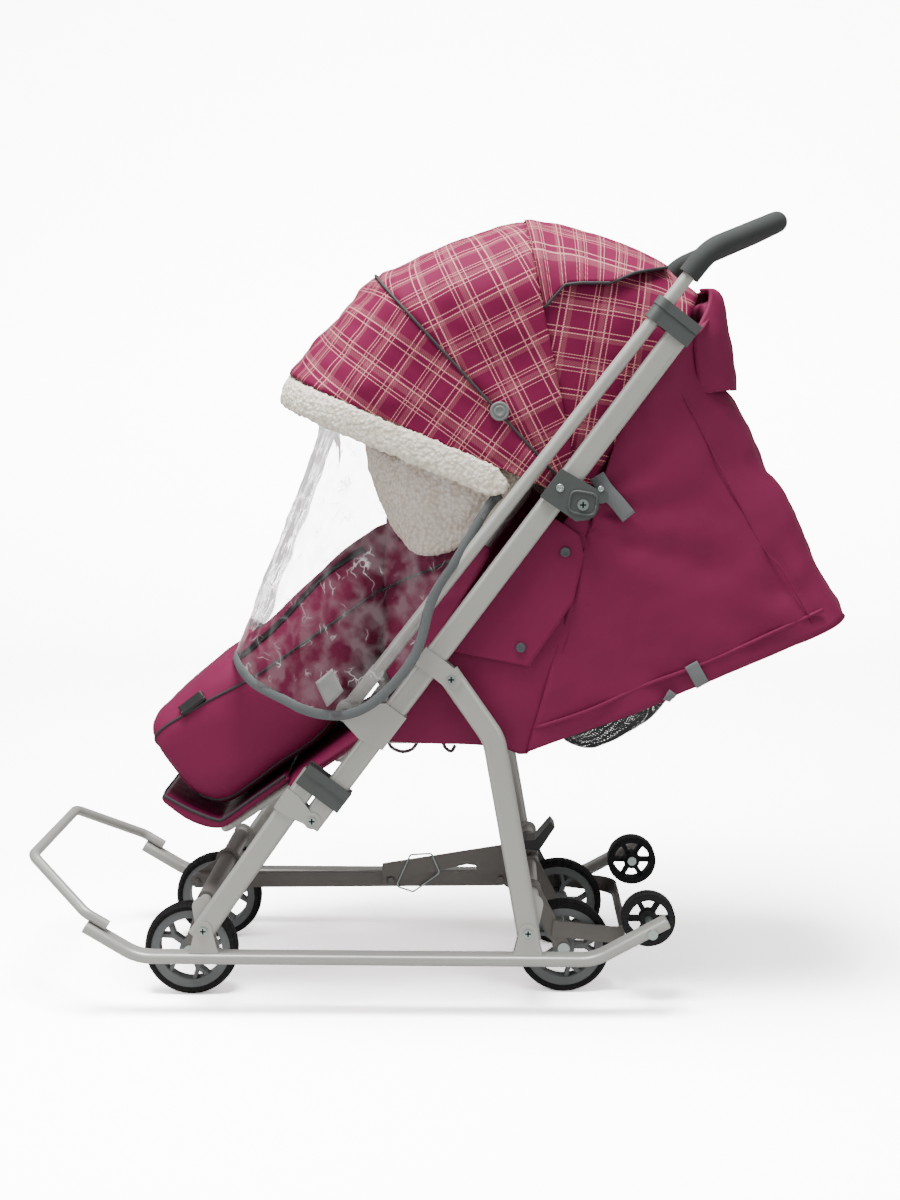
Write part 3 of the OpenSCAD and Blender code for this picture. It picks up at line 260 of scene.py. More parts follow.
def spline(points, t):
    """A smooth curve through points, t from 0 to 1."""
    last = len(points) - 1
    s = clamp(t) * last
    i = min(int(s), last - 1)
    f = s - i
    a, b, c, d = (Vector(points[min(max(k, 0), last)]) for k in (i - 1, i, i + 1, i + 2))
    return 0.5 * (2 * b + (c - a) * f + (2 * a - 5 * b + 4 * c - d) * f * f + (3 * b - a - 3 * c + d) * f**3)


def paces(line, count):
    """Count points at even steps along a line, each with its distance from the start."""
    reach = [0.0]
    for p, q in zip(line, line[1:]):
        reach.append(reach[-1] + (q - p).length)
    found, k = [], 0
    for n in range(count):
        goal = reach[-1] * n / (count - 1)
        while k < len(reach) - 2 and reach[k + 1] < goal:
            k += 1
        step = max(reach[k + 1] - reach[k], 1e-9)
        found.append((line[k].lerp(line[k + 1], (goal - reach[k]) / step), goal))
    return found


def evenly(points, count):
    """A smooth curve through points, as count points at even steps."""
    fine = 8 * count
    return [p for p, _ in paces([spline(points, k / fine) for k in range(fine + 1)], count)]


def sweep(name, path, section, mat, body, across=(0, 1, 0)):
    """Carries a section of (a, b) points in mm along a path; a is measured along across."""
    path = [Vector(p) for p in path]
    rings, last = [], len(path) - 1
    for i, p in enumerate(path):
        way = (path[min(i + 1, last)] - path[max(i - 1, 0)]).normalized()
        side = Vector(across[i] if isinstance(across, list) else across)
        side = (side - side.dot(way) * way).normalized()
        up = way.cross(side)
        rings.append([p + a * side + b * up for a, b in section])
    return loft(name, rings, mat, body)


def circle(count):
    """Cosine and sine at even steps round a circle."""
    return [(cos(2 * pi * k / count), sin(2 * pi * k / count)) for k in range(count)]


def round_bar(radius):
    """The section of a cord."""
    return [(radius * c, radius * s) for c, s in circle(8)]


def strip(width, thick):
    """The section of a tape with soft edges."""
    w, t = width / 2, thick / 2
    return [(-w, 0), (-w + t, -t), (w - t, -t), (w, 0), (w - t, t), (-w + t, t)]


# Coated polyester in plain weave: a dull sheen on a thread grain of 0.8 mm, coarser than real so that it shows
cloth = finish("plain_cloth", "#74103f", 0.7, grain=0.8, bump=0.35, shade=0.12, Specular_IOR_Level=0.3)
# Glossy vinyl: broad highlights over a slow ripple
vinyl = finish("gloss_vinyl", "#5c0d34", 0.34, grain=14.0, bump=0.3, Coat_Weight=0.25, Coat_Roughness=0.2)
# Woven grey piping: matt, with the same thread grain as the cloth
piping_grey = finish("piping_tape", "#2b2d2f", 0.7, grain=0.8, bump=0.3)

DEG = pi / 180
heel = Vector((-279.3, 226.0))
calf_way = Vector((0.8231, 0.5678))


def calf(d, lift):
    """A point in the side view, d mm up the calf rest from the heel and lift mm above it."""
    return heel + d * calf_way + lift * Vector((-calf_way.y, calf_way.x))


board_top = [calf(116, 17), calf(60, 16.5), calf(18, 15.5), (-286, 246), (-320, 259), (-355, 278)]
board_low = [calf(116, 7), calf(60, 5.6), calf(14, 4.0), (-290, 232), (-322, 242), (-353, 264), (-358, 271)]
edge_top, edge_low = (evenly([(x, z, 0) for x, z in edge], 40) for edge in (board_top, board_low))
board_half = 151
across_y = [-151, -150, -147, -140, -100, -50, 0, 50, 100, 140, 147, 150, 151]
drawn_in = [4.6, 2.0, 0.6, 0, 0, 0, 0, 0, 0, 0, 0.6, 2.0, 4.6]
rings = []
for y, draw in zip(across_y, drawn_in):
    puff = 1.5 * cos(pi / 2 * y / board_half)
    ring = [(p.x, y, p.y - draw + puff) for p in edge_top]
    rings.append(ring + [(q.x, y, q.y + draw) for q in reversed(edge_low)])
board = loft("footrest_cover", rings, cloth, "footrest")
board.data.materials.append(vinyl)
for face in board.data.polygons:
    if face.normal.z > 0.35:
        face.material_index = 1
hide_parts("footrest_board")
rim_half, toe_edge = 150.5, edge_top[-1]
rim_path = [(p.x, -rim_half, p.y - 1) for p in edge_top]
rim_path += [(toe_edge.x - 2, y, toe_edge.y - 1) for y in (-120, -60, 0, 60, 120)]
rim_path += [(p.x, rim_half, p.y - 1) for p in reversed(edge_top)]
board_piping = sweep("footrest_piping", rim_path, round_bar(2.0), piping_grey, "footrest", across=(0, 0.2, 1))


# Seat and backrest pads
# Foam slabs in sewn cloth covers, laid on the seat frame and tied to the backrest's rails.
def crease(p, size, seed=0.0):
    """Soft uneven relief, from about -1 to 1, with lumps of so many mm."""
    return noise.fractal(Vector(p) / size + Vector((seed, seed * 0.37, -seed)), 0.9, 2.0, 3)


def cushion(name, middle, length, width, thick, tilt, body, seed):
    """A sewn pad with a crown; its sides draw in between the corners."""
    points, faces, n, draw = [], [], 33, 5
    c, s = cos(tilt * DEG), sin(tilt * DEG)
    for side in (1, -1):
        faces += net_faces(n, n, len(points))
        for i in range(n):
            for j in range(n):
                u, v = 2 * i / (n - 1) - 1, 2 * j / (n - 1) - 1
                edge = (1 - abs(u) ** 6) * (1 - abs(v) ** 6)
                x = u * (length / 2 - draw * (1 - v * v))
                y = v * (width / 2 - draw * (1 - u * u))
                z = side * (thick / 2) * max(0.0, edge) ** 0.45
                z += side * edge * (1.6 * crease((x, y, 40 * side), 55, seed))
                points.append((middle[0] + x * c - z * s, y, middle[1] + x * s + z * c))
    return place(name, points, faces, cloth, body)


seat = cushion("seat_cushion", (23.5, 381), 189, 332, 26, 0, "seat", 1.0)
back_foot, back_way, back_up = Vector((132, 360)), Vector((0.93358, 0.35837)), Vector((-0.35837, 0.93358))
back = cushion("back_cushion", back_foot + 221.5 * back_way + 20 * back_up, 363, 312, 26, 21, "backrest", 2.0)
for piece, cad in ((seat, "seat_pad"), (back, "backrest_pad")):
    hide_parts(cad)


# Side panels
# Cloth sides sewn between main tube, seat hem and back, each with a wing flap held by two grey snaps.
def drape(name, rows, thick, mat, body, depth=0.0, size=60.0, seed=0.0, uv=None, fold=None):
    """A sheet through rows of points in mm, ruffled by depth and by fold(point), and given its thickness."""
    n, m = len(rows), len(rows[0])
    points = []
    for i in range(n):
        for j, p in enumerate(rows[i]):
            du = rows[i][min(j + 1, m - 1)] - rows[i][max(j - 1, 0)]
            dv = rows[min(i + 1, n - 1)][j] - rows[max(i - 1, 0)][j]
            out = du.cross(dv)
            out = out.normalized() if out.length > 1e-6 else Vector()
            lift = depth * crease(p, size, seed) + (fold(p) if fold else 0)
            points.append(p + lift * out)
    piece = new_piece(name, points, net_faces(n, m), mat)
    if uv:
        layer = piece.data.uv_layers.new(name="UVMap")
        for loop in piece.data.loops:
            i, j = divmod(loop.vertex_index, m)
            layer.data[loop.index].uv = uv[i][j]
    if thick:
        bpy.ops.object.modifier_add(type="SOLIDIFY")
        made = piece.modifiers[-1]
        made.thickness, made.offset = 0.001 * thick, 0.0
        bpy.ops.object.modifier_apply(modifier=made.name)
    piece.select_set(False)
    if body:
        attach(piece, body)
    return piece


def both(piece, body):
    """A piece and its copy on the far side, which has its own mesh."""
    twin = piece.copy()
    twin.data = piece.data.copy()
    twin.name = piece.name.replace("_near", "_far") if "_near" in piece.name else piece.name + "_far"
    bpy.context.scene.collection.objects.link(twin)
    for v in twin.data.vertices:
        v.co.y = -v.co.y
    twin.data.flip_normals()
    twin.data.update()
    if body:
        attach(twin, body)
    return piece, twin


def patch(edge_a, edge_b, n, m, y_of):
    """Rows of points between two edges in the side view; y_of(u, v) is how far out they lie."""
    a, b = (evenly([(x, 0, z) for x, z in edge], m) for edge in (edge_a, edge_b))
    rows = []
    for i in range(n):
        v = i / (n - 1)
        line = [p.lerp(q, v) for p, q in zip(a, b)]
        rows.append([Vector((p.x, y_of(j / (m - 1), v), p.z)) for j, p in enumerate(line)])
    return rows


tube_side = [(-56, 378), (-20, 425), (40, 492), (110, 570), (186, 664)]
hem_side = [(-58, 359), (-10, 357), (40, 356), (90, 353), (130, 348), (160, 445), (190, 545), (208, 644)]
panel = drape(
    "side_panel_near",
    patch(tube_side, hem_side, 28, 44, lambda u, v: -188 - 3 * sin(pi * u) * sin(pi * v)),
    2.0, cloth, "upper_frame", depth=2.2, size=70, seed=3.0,
)
for piece, tube in zip(both(panel, "upper_frame"), ("main_tube_left", "main_tube_right")):
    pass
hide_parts("side_panels")


def cornered(points, near=0.12):
    """The same points, with more beside each corner, so that a curve through them keeps it."""
    line = [points[0]]
    for a, b in zip(points, points[1:]):
        a, b = Vector(a), Vector(b)
        line += [a.lerp(b, near)[:], a.lerp(b, 1 - near)[:], b[:]]
    return line


wing_top = [(2, 484), (40, 530), (90, 595), (136, 655)]
wing_low = cornered([(0, 491), (24, 479), (127, 459), (183, 543), (196, 603), (190, 629), (136, 664)])
wing = drape(
    "wing_flap_near",
    patch(wing_top, wing_low, 24, 60, lambda u, v: -192.5 - 4.0 * sin(pi * u) * v * v),
    2.4, cloth, "upper_frame", depth=1.2, size=60, seed=5.0,
)
for piece, under in zip(both(wing, "upper_frame"), ("side_panel_near", "side_panel_far")):
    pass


def turned(name, at, profile, mat, body):
    """A small round piece, turned about an axis that points to the near side; profile is (radius, out) in mm."""
    x, y, z = at
    rings = [[(x + r * c, y - out, z + r * s) for c, s in circle(28)] for r, out in profile]
    return loft(name, rings, mat, body)


# Moulded grey nylon: a satin gloss, nearly smooth
snap_grey = finish("snap_plastic", "#3f4549", 0.4, grain=1.0, bump=0.1)
snap_shape = [(6.2, -0.5), (6.4, 0.8), (5.9, 1.6), (4.6, 1.9), (4.2, 1.5), (1.0, 1.6)]
for k, (x, z) in enumerate(((172, 607), (116, 484))):
    snap = turned(f"snap_near_{k}", (x, -198, z), snap_shape, snap_grey, "upper_frame")
    for piece in both(snap, "upper_frame"):
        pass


# Foot muff
# A deep quilted bag for the legs, sewn from a top, two sides and a toe panel with grey piping in the seams.
def bulge(value, power):
    """A power of value that keeps its sign."""
    return copysign(abs(value) ** power, value)


# Each point stands so many mm up the calf rest, then x and z mm off it; the low ones also have a half width
bag_low = [
    (-8, -18, 34, 130), (0, -4, 20, 144), (30, 0, 0, 149), (110, 0, 0, 149), (170, 0, 0, 146), (215, 0, 20, 138),
    (250, 20, 66, 104),
]
bag_top = [
    (-8, -64, 100), (-8, -78, 134), (30, -46, 172), (110, -40, 178), (170, -22, 208), (215, 4, 236), (240, 32, 250),
]
muff_low = [(*(calf(d, 20) + Vector((x, z))), half) for d, x, z, half in bag_low]
muff_top = [calf(d, 20) + Vector((x, z)) for d, x, z in bag_top]


def crown(t):
    """How square the muff's top is, t from toe to opening."""
    return 0.36 + 0.44 * t


def muff_point(t, angle, inset=0.0):
    """A point on the muff's skin, t from toe to opening."""
    x, z, half = spline(muff_low, t)
    low, top = Vector((x, z)), spline(muff_top, t)
    way = (top - low).normalized()
    low, top, half = low + inset * way, top - inset * way, half - inset
    c, s = cos(angle), sin(angle)
    at = low.lerp(top, 0.5 + 0.5 * bulge(s, crown(t) if s > 0 else 0.4))
    return Vector((at.x, half * bulge(c, 0.34 + 0.3 * t), at.y))


def quilt(p):
    """How far the quilted cloth lifts at a point."""
    return 2.4 * crease(p, 60, 7.0)


steps, around = 64, 120
turns = [2 * pi * k / around for k in range(around)]
rows = [[muff_point(i / (steps - 1), a) for a in turns] for i in range(steps)]
for i in range(steps):
    fade = min(1.0, i / 5, (steps - 1 - i) / 5)
    for k in range(around):
        du = rows[i][(k + 1) % around] - rows[i][k - 1]
        dv = rows[min(i + 1, steps - 1)][k] - rows[max(i - 1, 0)][k]
        rows[i][k] = rows[i][k] + fade * quilt(rows[i][k]) * du.cross(dv).normalized()
# The lining turns in at the opening and runs back towards the toe
lining = 12
for i in range(lining):
    rows.append([muff_point(1 - 0.8 * i / (lining - 1), a, 6.0 if i else 4.0) for a in turns])
muff = loft("muff_bag", rows, cloth, "footrest")
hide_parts("foot_muff")


def muff_skin(t, angle, lift):
    """A point lift mm above the muff's ruffled skin, and the way out of it."""
    p = muff_point(t, angle)
    du = muff_point(t, angle + 0.02) - muff_point(t, angle - 0.02)
    dv = muff_point(min(1, t + 0.01), angle) - muff_point(max(0, t - 0.01), angle)
    out = du.cross(dv).normalized()
    fade = min(1.0, t * 12.6, (1 - t) * 12.6)
    return p + (fade * quilt(p) + lift) * out, out


def seam_angle(t):
    """Where the top seam lies on the muff, falling from the toe to the opening."""
    share = 0.93 - 0.36 * t
    return pi - asin((2 * share - 1) ** (1 / crown(t)))


def on_muff(name, skin, section, mat):
    """A trim along points of the muff's skin, each with the way out of it."""
    path, outs = zip(*skin)
    return sweep(name, path, section, mat, "footrest", across=list(outs))


along = [0.02 + 0.96 * k / 70 for k in range(71)]
for label, angles in (("top", [seam_angle(t) for t in along]), ("low", [3.86] * len(along))):
    skin = [muff_skin(t, angle, 0.6) for t, angle in zip(along, angles)]
    for piece in both(on_muff(f"muff_piping_{label}_near", skin, round_bar(1.7), piping_grey), "footrest"):
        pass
skin = [muff_skin(0.06, 2.46 + 1.40 * k / 20, 0.6) for k in range(21)]
for piece in both(on_muff("muff_toe_seam_near", skin, round_bar(1.2), cloth), "footrest"):
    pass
# Black coated zip tape: a dull shine over coarse threads
zip_black = finish("zip_tape", "#0f0e10", 0.5, grain=1.2, bump=0.3)
skin = [muff_skin(0.44 + 0.45 * k / 50, 2.2 + 0.08 * sin(k / 8), 0.8) for k in range(51)]
on_muff("muff_zip", skin, strip(2.0, 9.0), zip_black)
skin = [muff_skin(0.27 + 0.075 * k / 12, seam_angle(0.3) - 0.10, 1.6) for k in range(13)]
on_muff("muff_tab", skin, strip(1.4, 13.0), zip_black)

# Calf rest
# A thin padded sleeve on the footrest frame between the board and the seat.
calf_half = 157
rings = []
for i in range(21):
    y = calf_half * (i / 10 - 1)
    thick = 12 * max(0.25, 1 - abs(y / calf_half) ** 8)
    ring = [calf(174 + 64 * bulge(c, 0.5), 2 + thick * bulge(s, 0.6)) for c, s in circle(28)]
    rings.append([(q.x, y, q.y) for q in ring])
calf_pad = loft("calf_sleeve", rings, cloth, "footrest")


# Apron and fleece collar
# The muff's cover runs on as a cloth apron to the main tubes, and ends in a folded collar of its sherpa lining.
def whole(line):
    """A line from the near side to the middle, carried on to the far side."""
    return line + [(x, -y, z) for x, y, z in reversed(line[:-1])]


def nearest(points, x, z):
    """The point that lies closest to x, z in the side view."""
    return min(points, key=lambda p: (p.x - x) ** 2 + (p.z - z) ** 2)


apron_muff = whole([
    (-66, -88, 452), (-64, -103, 500), (-63, -104, 550), (-63, -100, 590), (-62, -88, 610), (-62, -66, 622),
    (-61, -36, 628), (-61, 0, 629),
])
apron_tube = whole([
    (-38, -170, 424), (0, -173, 478), (40, -174, 540), (76, -170, 606), (34, -158, 612), (-14, -128, 606),
    (-48, -78, 646), (-64, 0, 668),
])
rows = []
for i in range(26):
    v = i / 25
    row = [spline(apron_muff, j / 110).lerp(spline(apron_tube, j / 110), v) for j in range(111)]
    for p in row:
        p.x -= 6 * sin(pi * v)
    rows.append(row)
apron = drape("muff_apron", rows, 2.4, cloth, None, depth=4.0, size=45, seed=9.0)
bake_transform(apron)
near_half = [p for row in rows for p in row[:56]]
line = [nearest(near_half, x, z) for x, z in ((-63, 548), (-36, 561), (0, 578), (52, 600))]
path = evenly([(p.x - 4, p.y - 5, p.z) for p in line], 40)
apron_seam = sweep("apron_piping_near", path, round_bar(1.7), piping_grey, None, across=(0, 1, 0.2))
for piece in both(apron_seam, None):
    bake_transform(piece)


def stirred(tree, where, scale, detail, share):
    """Places that noise moves about, so that a pattern on them runs unevenly."""
    stir = add(tree, "TexNoise", {"Vector": where, "Scale": scale, "Detail": detail})["Color"]
    return add(tree, "Mix", {"Factor": share, "A": where, "B": stir}, data_type="VECTOR")["Result"]


# Sherpa fleece: a matt curled pile in tufts of about 5 mm, with painted shade that makes it darker between the tufts
# than on them
fleece = finish("sherpa_fleece", "#f6eedf", 0.95, Specular_IOR_Level=0.1)
tree = fleece.node_tree
where = stirred(tree, add(tree, "TexCoord")["Object"], 180.0, 2.0, 0.0025)
tuft = add(tree, "TexVoronoi", {"Vector": where, "Scale": 210.0, "Smoothness": 0.5}, feature="SMOOTH_F1")["Distance"]
# Painted shade: the colour darkens from each tuft's middle into the hollows between tufts
between = add(tree, "MapRange", {"Value": tuft, "From Min": 0.25, "From Max": 0.75})["Result"]
tone = add(tree, "Mix", {"Factor": between, "A": srgb("#fff8ea"), "B": srgb("#ddd2be")}, data_type="RGBA")["Result"]
feed(tree, "Base Color", tone)
pile = add(tree, "Bump", {"Strength": 0.8, "Distance": 0.003, "Height": tuft}, invert=True)["Normal"]
feed(tree, "Normal", pile)


# Blender seeds this noise from the clock; a seed of its own gives the same fleece in each run
noise.seed_set(1)


def curls(p, size):
    """The relief of curly fleece, from 0 to 1: round tufts about size mm across."""
    warp = 0.25 * noise.noise_vector(Vector(p) / (1.7 * size))
    near = noise.voronoi(Vector(p) / size + warp)[0]
    return min(1.0, 2.2 * (near[1] - near[0])) * (1 - 0.4 * near[0])


def fluffed(ring, pile, lump, size):
    """A ring of points, raised by curls of pile mm and by lumps of lump mm that are size mm across."""
    core = sum(ring, Vector()) / len(ring)
    return [p + (p - core).normalized() * (pile * curls(p, 8.0) + lump * crease(p, size, 4.0) - 1.0) for p in ring]


collar_low = whole([
    (104, -168, 664), (64, -165, 632), (24, -158, 604), (-14, -140, 596), (-44, -100, 622), (-64, -50, 654),
    (-70, 0, 664),
])
collar_top = whole([
    (128, -160, 716), (92, -158, 716), (40, -152, 716), (-20, -138, 720), (-62, -98, 730), (-84, -48, 742),
    (-90, 0, 748),
])
rings, last = [], 299
for i in range(last + 1):
    low, top = spline(collar_low, i / last), spline(collar_top, i / last)
    way = spline(collar_low, (i + 1) / last) - spline(collar_low, (i - 1) / last)
    out = (top - low).cross(way).normalized()
    thick = 9 * max(0.1, min(1.0, i / 10, (last - i) / 10)) ** 0.5
    ring = [low.lerp(top, 0.5 + 0.5 * bulge(c, 0.6)) + thick * bulge(s, 0.7) * out for c, s in circle(44)]
    rings.append(fluffed(ring, 2.8, 2.0, 40))
collar = loft("fleece_collar", rings, fleece, None)
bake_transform(collar)


# Hood
# Three gores of woven plaid, stretched over bent hoops that turn about the hinges, with piping in the first seam.
def plaid_lines(tree, across, lines, bands):
    """A repeat of thin woven lines and soft bands across one direction, as a factor from 0 to 1."""
    ramp = add(tree, "ValToRGB", {"Fac": add(tree, "Math", {0: across}, operation="FRACT")["Value"]})
    stops = ramp["Color"].node.color_ramp
    stops.interpolation = "CONSTANT"
    last = stops.elements[1]
    last.position, last.color = 0.999, (0, 0, 0, 1)
    for start, end, tone in sorted([(a, b, 0.85) for a, b in lines] + [(a, b, 0.13) for a, b in bands]):
        for at, level in ((start, tone), (end, 0.0)):
            stops.elements.new(at).color = (level, level, level, 1)
    return ramp["Color"]


# Polyester woven in a plaid of pale lines, on the piece's UV, which is in metres
plaid_ground, plaid_pale, warp_repeat, weft_repeat = "#6f0a3a", "#e9a69c", 0.092, 0.076
plaid_cloth = finish("plaid_cloth", plaid_ground, 0.75, Specular_IOR_Level=0.2)
tree = plaid_cloth.node_tree
uv_at = add(tree, "UVMap", uv_map="UVMap")["UV"]
axes = add(tree, "SeparateXYZ", {"Vector": uv_at})
thin = [(0.01, 0.023), (0.075, 0.094), (0.23, 0.242), (0.28, 0.292), (0.62, 0.639), (0.71, 0.723)]
soft = [(0.108, 0.18), (0.55, 0.61)]
warp, weft = (
    plaid_lines(tree, add(tree, "Math", {0: axes[way], 1: 1 / repeat}, operation="MULTIPLY")["Value"], thin, soft)
    for way, repeat in (("X", warp_repeat), ("Y", weft_repeat))
)
pale = add(tree, "Mix", {"Factor": 1.0, "A": warp, "B": weft}, data_type="RGBA", blend_type="SCREEN")["Result"]
# Twill lines 2.4 mm apart, coarser than the real ones so that they show
twill = add(tree, "TexWave", {"Vector": uv_at, "Scale": 185.0}, bands_direction="DIAGONAL")["Fac"]
weave = add(tree, "MapRange", {"Value": twill, "To Min": 0.35})["Result"]
factor = add(tree, "Math", {0: pale, 1: weave}, operation="MULTIPLY")["Value"]
tone = add(tree, "Mix", {"Factor": factor, "A": srgb(plaid_ground), "B": srgb(plaid_pale)}, data_type="RGBA")["Result"]
feed(tree, "Base Color", tone)
feed(tree, "Normal", add(tree, "Bump", {"Strength": 0.2, "Distance": 0.0004, "Height": twill})["Normal"])
hinge = Vector((192.8, 669.0))


def at_hinge(reach, y, angle):
    """A point reach mm from the hinge line, at an angle above the rear."""
    return Vector((hinge.x + reach * cos(angle), y, hinge.y + reach * sin(angle)))


def hoop(radius, half, count=121):
    """A hoop from near hinge to far hinge as (y, distance from the hinge line, arc), at even steps."""
    dome, root = 130, 9
    shape = [(-half, root), (-half, (root + radius - dome) / 2)]
    for k in range(0, 181, 6):
        c, s = cos(k * DEG), sin(k * DEG)
        shape.append((-half * bulge(c, 0.7), radius - dome + dome * max(s, 0) ** 0.7))
    shape += [(half, (root + radius - dome) / 2), (half, root)]
    return [(p.x, p.y, arc) for p, arc in paces([Vector(p) for p in shape], count)]


def gore_radius(section, t):
    """The radius of a gore's hoop, with a ridge over its front wire and a sag behind it."""
    _, _, r0, r1, _, sag = section
    ridge = 4 * exp(-((t - 0.03) / 0.05) ** 2)
    return r0 + (r1 - r0) * t - sag * sin(pi * t) + ridge


def gore_point(section, t, s, lift=0.0):
    """A point on a hood gore, t from its front hoop to its rear one and s from near hinge to far hinge."""
    a0, a1, _, _, half, _ = section
    line = hoop(gore_radius(section, t) + lift, half + lift)
    f = s * (len(line) - 1)
    k = min(int(f), len(line) - 2)
    y, rho, _ = (a + (f - k) * (b - a) for a, b in zip(line[k], line[k + 1]))
    return at_hinge(rho, y, (a0 + (a1 - a0) * t) * DEG)


def gore(name, section, body, seed, depth, hem, tuck):
    """One plaid gore of the hood, ruffled by depth; a hem of so many mm turns in at its rear seam, and tuck
    degrees of it lie under the gore in front."""
    a0, a1, _, _, half, _ = section
    rows, uv, steps = [], [], 30
    for i in range(-2 if tuck else 0, steps + 2):
        t = clamp(i / (steps - 1))
        inset = hem * max(0, i - steps + 1) / 2 + 2.4 * max(0, -i)
        line = hoop(gore_radius(section, t) - inset, half - inset)
        angle = a0 + (a1 - a0) * t + tuck * max(0, -i) / 2
        off = (angle - (a0 + a1) / 2) * DEG
        rows.append([at_hinge(rho, y, angle * DEG) for y, rho, _ in line])
        arcs = [0.001 * arc for _, _, arc in line]
        uv.append([(min(arc, arcs[-1] - arc) * sin(off), arc * cos(off)) for arc in arcs])

    def ruffle(p):
        """Slack that dies out towards the seams."""
        t = (atan2(p.z - hinge.y, p.x - hinge.x) / DEG - a0) / (a1 - a0)
        return depth * crease(p, 64, seed) * min(clamp(6 * t), clamp(6 * (1 - t)))

    return drape(name, rows, 2.4, plaid_cloth, body, uv=uv, fold=ruffle)


# Of each gore: the angles and the radii of its front and rear hoop, its half width and its sag
front_section = (157, 132.7, 416, 397, 190, 8)
middle_section = (132.3, 101.7, 392, 370, 185, 5)
rear_section = (101.3, 60, 365, 312, 180, 4)
hood_front = gore("hood_gore_front", front_section, "hood_canopy", 11.0, 5.5, hem=6.5, tuck=0)
hood_middle = gore("hood_gore_middle", middle_section, "hood_mid", 12.0, 3.5, hem=6.5, tuck=2.0)
hood_rear = gore("hood_gore_rear", rear_section, "upper_frame", 13.0, 3.0, hem=20, tuck=2.0)
for piece, cad, flat, area in (
    (hood_front, "hood_front", (0.16, 1.0), 0.107),
    (hood_middle, "hood_middle", (0.22, 1.0), 0.142),
    (hood_rear, "hood_rear", (0.26, 0.9), 0.148),
):
    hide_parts(cad)
seam = [gore_point(front_section, 1.0, k / 120, 2.0) for k in range(2, 119)]
hood_piping = sweep("hood_piping", seam, round_bar(1.9), piping_grey, "hood_canopy", across=(1, 0.3, 0.2))
# The hinge moulding has a raised rim round its bolt, a screw into the tube and a rivet for the strap
out_face = 1000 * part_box("hood_hinges")[0].y
rim_line = []
for c, s in circle(48) + circle(48)[:1]:
    wide, tall = 17 * bulge(c, 0.5), 14 * bulge(s, 0.5)
    rim_line.append((hinge.x + wide * 0.98 + tall * 0.17, out_face - 0.6, hinge.y + 2 + tall * 0.98 - wide * 0.17))
hinge_rim = sweep("hinge_rim_near", rim_line, round_bar(1.7), grey_plastic, "upper_frame")
for piece in both(hinge_rim, "upper_frame"):
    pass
head_shape = [(1, -0.5), (1, 0.8), (0.8, 1.6), (0.5, 1.8), (0.42, 0.7), (0.1, 0.6)]
for label, x, z, r in (("screw", 164, 690, 5.2), ("rivet", 215, 689, 3.8)):
    shape = [(share * r, out) for share, out in head_shape]
    head = turned(f"hinge_{label}_near", (x, out_face, z), shape, zinc, "upper_frame")
    for piece in both(head, "upper_frame"):
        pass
# Moulded pale grey nylon: satin, with a fine texture
button_nylon = finish("button_nylon", "#6d7271", 0.45, grain=0.9, bump=0.15)
button_shape = [
    (12.0, -1.5), (12.4, 1.2), (11.6, 2.6), (9.6, 2.8), (9.0, 2.0), (7.4, 2.0), (6.8, 3.0), (5.0, 3.2), (4.4, 2.2),
    (1.0, 2.2),
]
button = turned("hood_button", (88, -195, 785), button_shape, button_nylon, "hood_canopy")
for piece in both(button, "hood_canopy"):
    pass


# Window flap
# A second layer of plaid over a window in the rear gore; its edge is piped and lies loose.
def flap_edge(x):
    """The height of the flap's lower edge above the floor."""
    line = [(140, 905), (157, 922), (170, 935), (226, 935), (256, 948), (292, 956), (330, 962)]
    for (xa, za), (xb, zb) in zip(line, line[1:]):
        if x <= xb:
            return za + (zb - za) * max(0.0, (x - xa) / (xb - xa))
    return line[-1][1]


rows, uv = [], []
for i in range(30):
    t = 0.004 + 0.76 * i / 29
    start, above = 0.02, 0.46
    for _ in range(14):
        middle = (start + above) / 2
        p = gore_point(rear_section, t, middle)
        start, above = (start, middle) if p.z >= flap_edge(p.x) else (middle, above)
    row = []
    for j in range(81):
        side = start + (1 - 2 * start) * j / 80
        loose = 5.0 + 5.0 * (1 - min(1.0, 6 * min(j, 80 - j) / 80)) * min(1.0, t * 4)
        row.append(gore_point(rear_section, t, side, loose))
    rows.append(row)
    uv.append([(0.001 * (p.y + 40), 0.001 * 330 * t) for p in row])
flap = drape("window_flap", rows, 2.2, plaid_cloth, "upper_frame", depth=2.0, size=60, seed=15.0, uv=uv)
rim = [row[0] for row in rows] + rows[-1][1:-1] + [row[-1] for row in reversed(rows)]
flap_piping = sweep("flap_piping", rim, round_bar(2.0), piping_grey, "upper_frame", across=(0.3, 0.2, 1))

# Back flap
# A plain lined flap, sewn under the hood's rear hoop and hanging over the bay behind it.
profile = [(356, 938), (368, 938), (378, 922), (382, 890), (388, 850), (393, 810)]
rows = []
for x, _, z in evenly([(x, 0, z) for x, z in profile], 30):
    fall = min(1.0, (940 - z) / 60)
    line = whole([
        (x - 12 - 40 * fall, -142 - 26 * fall, z - 4 * fall), (x - 10 - 6 * fall, -136 - 16 * fall, z),
        (x, -112 - 6 * fall, z), (x + 2, -50, z), (x + 3, 0, z),
    ])
    rows.append(evenly(line, 61))
back_flap = drape("back_flap", rows, 4.0, cloth, "upper_frame", depth=3.0, size=60, seed=17.0)

# Fleece trim
# A roll of sherpa fleece sewn round the hood's front edge.
line = [h for h in hoop(414, 192, 330) if h[1] > 92]
first_arc, last_arc = line[0][2], line[-1][2]
rings = []
for y, rho, arc in line:
    fat = max(0.05, min(1.0, (arc - first_arc) / 24, (last_arc - arc) / 24)) ** 0.5
    ring = []
    for c, s in circle(40):
        wide, thick = 19 * bulge(c, 0.7) * fat + 19, 6.2 * bulge(s, 0.8) * fat
        ring.append(at_hinge(rho + thick, y * (1 + thick / 220), 157.2 * DEG + wide / rho))
    rings.append(fluffed(ring, 3.2, 1.4, 34))
trim = loft("fleece_trim", rings, fleece, "hood_canopy")
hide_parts("sherpa_trim")


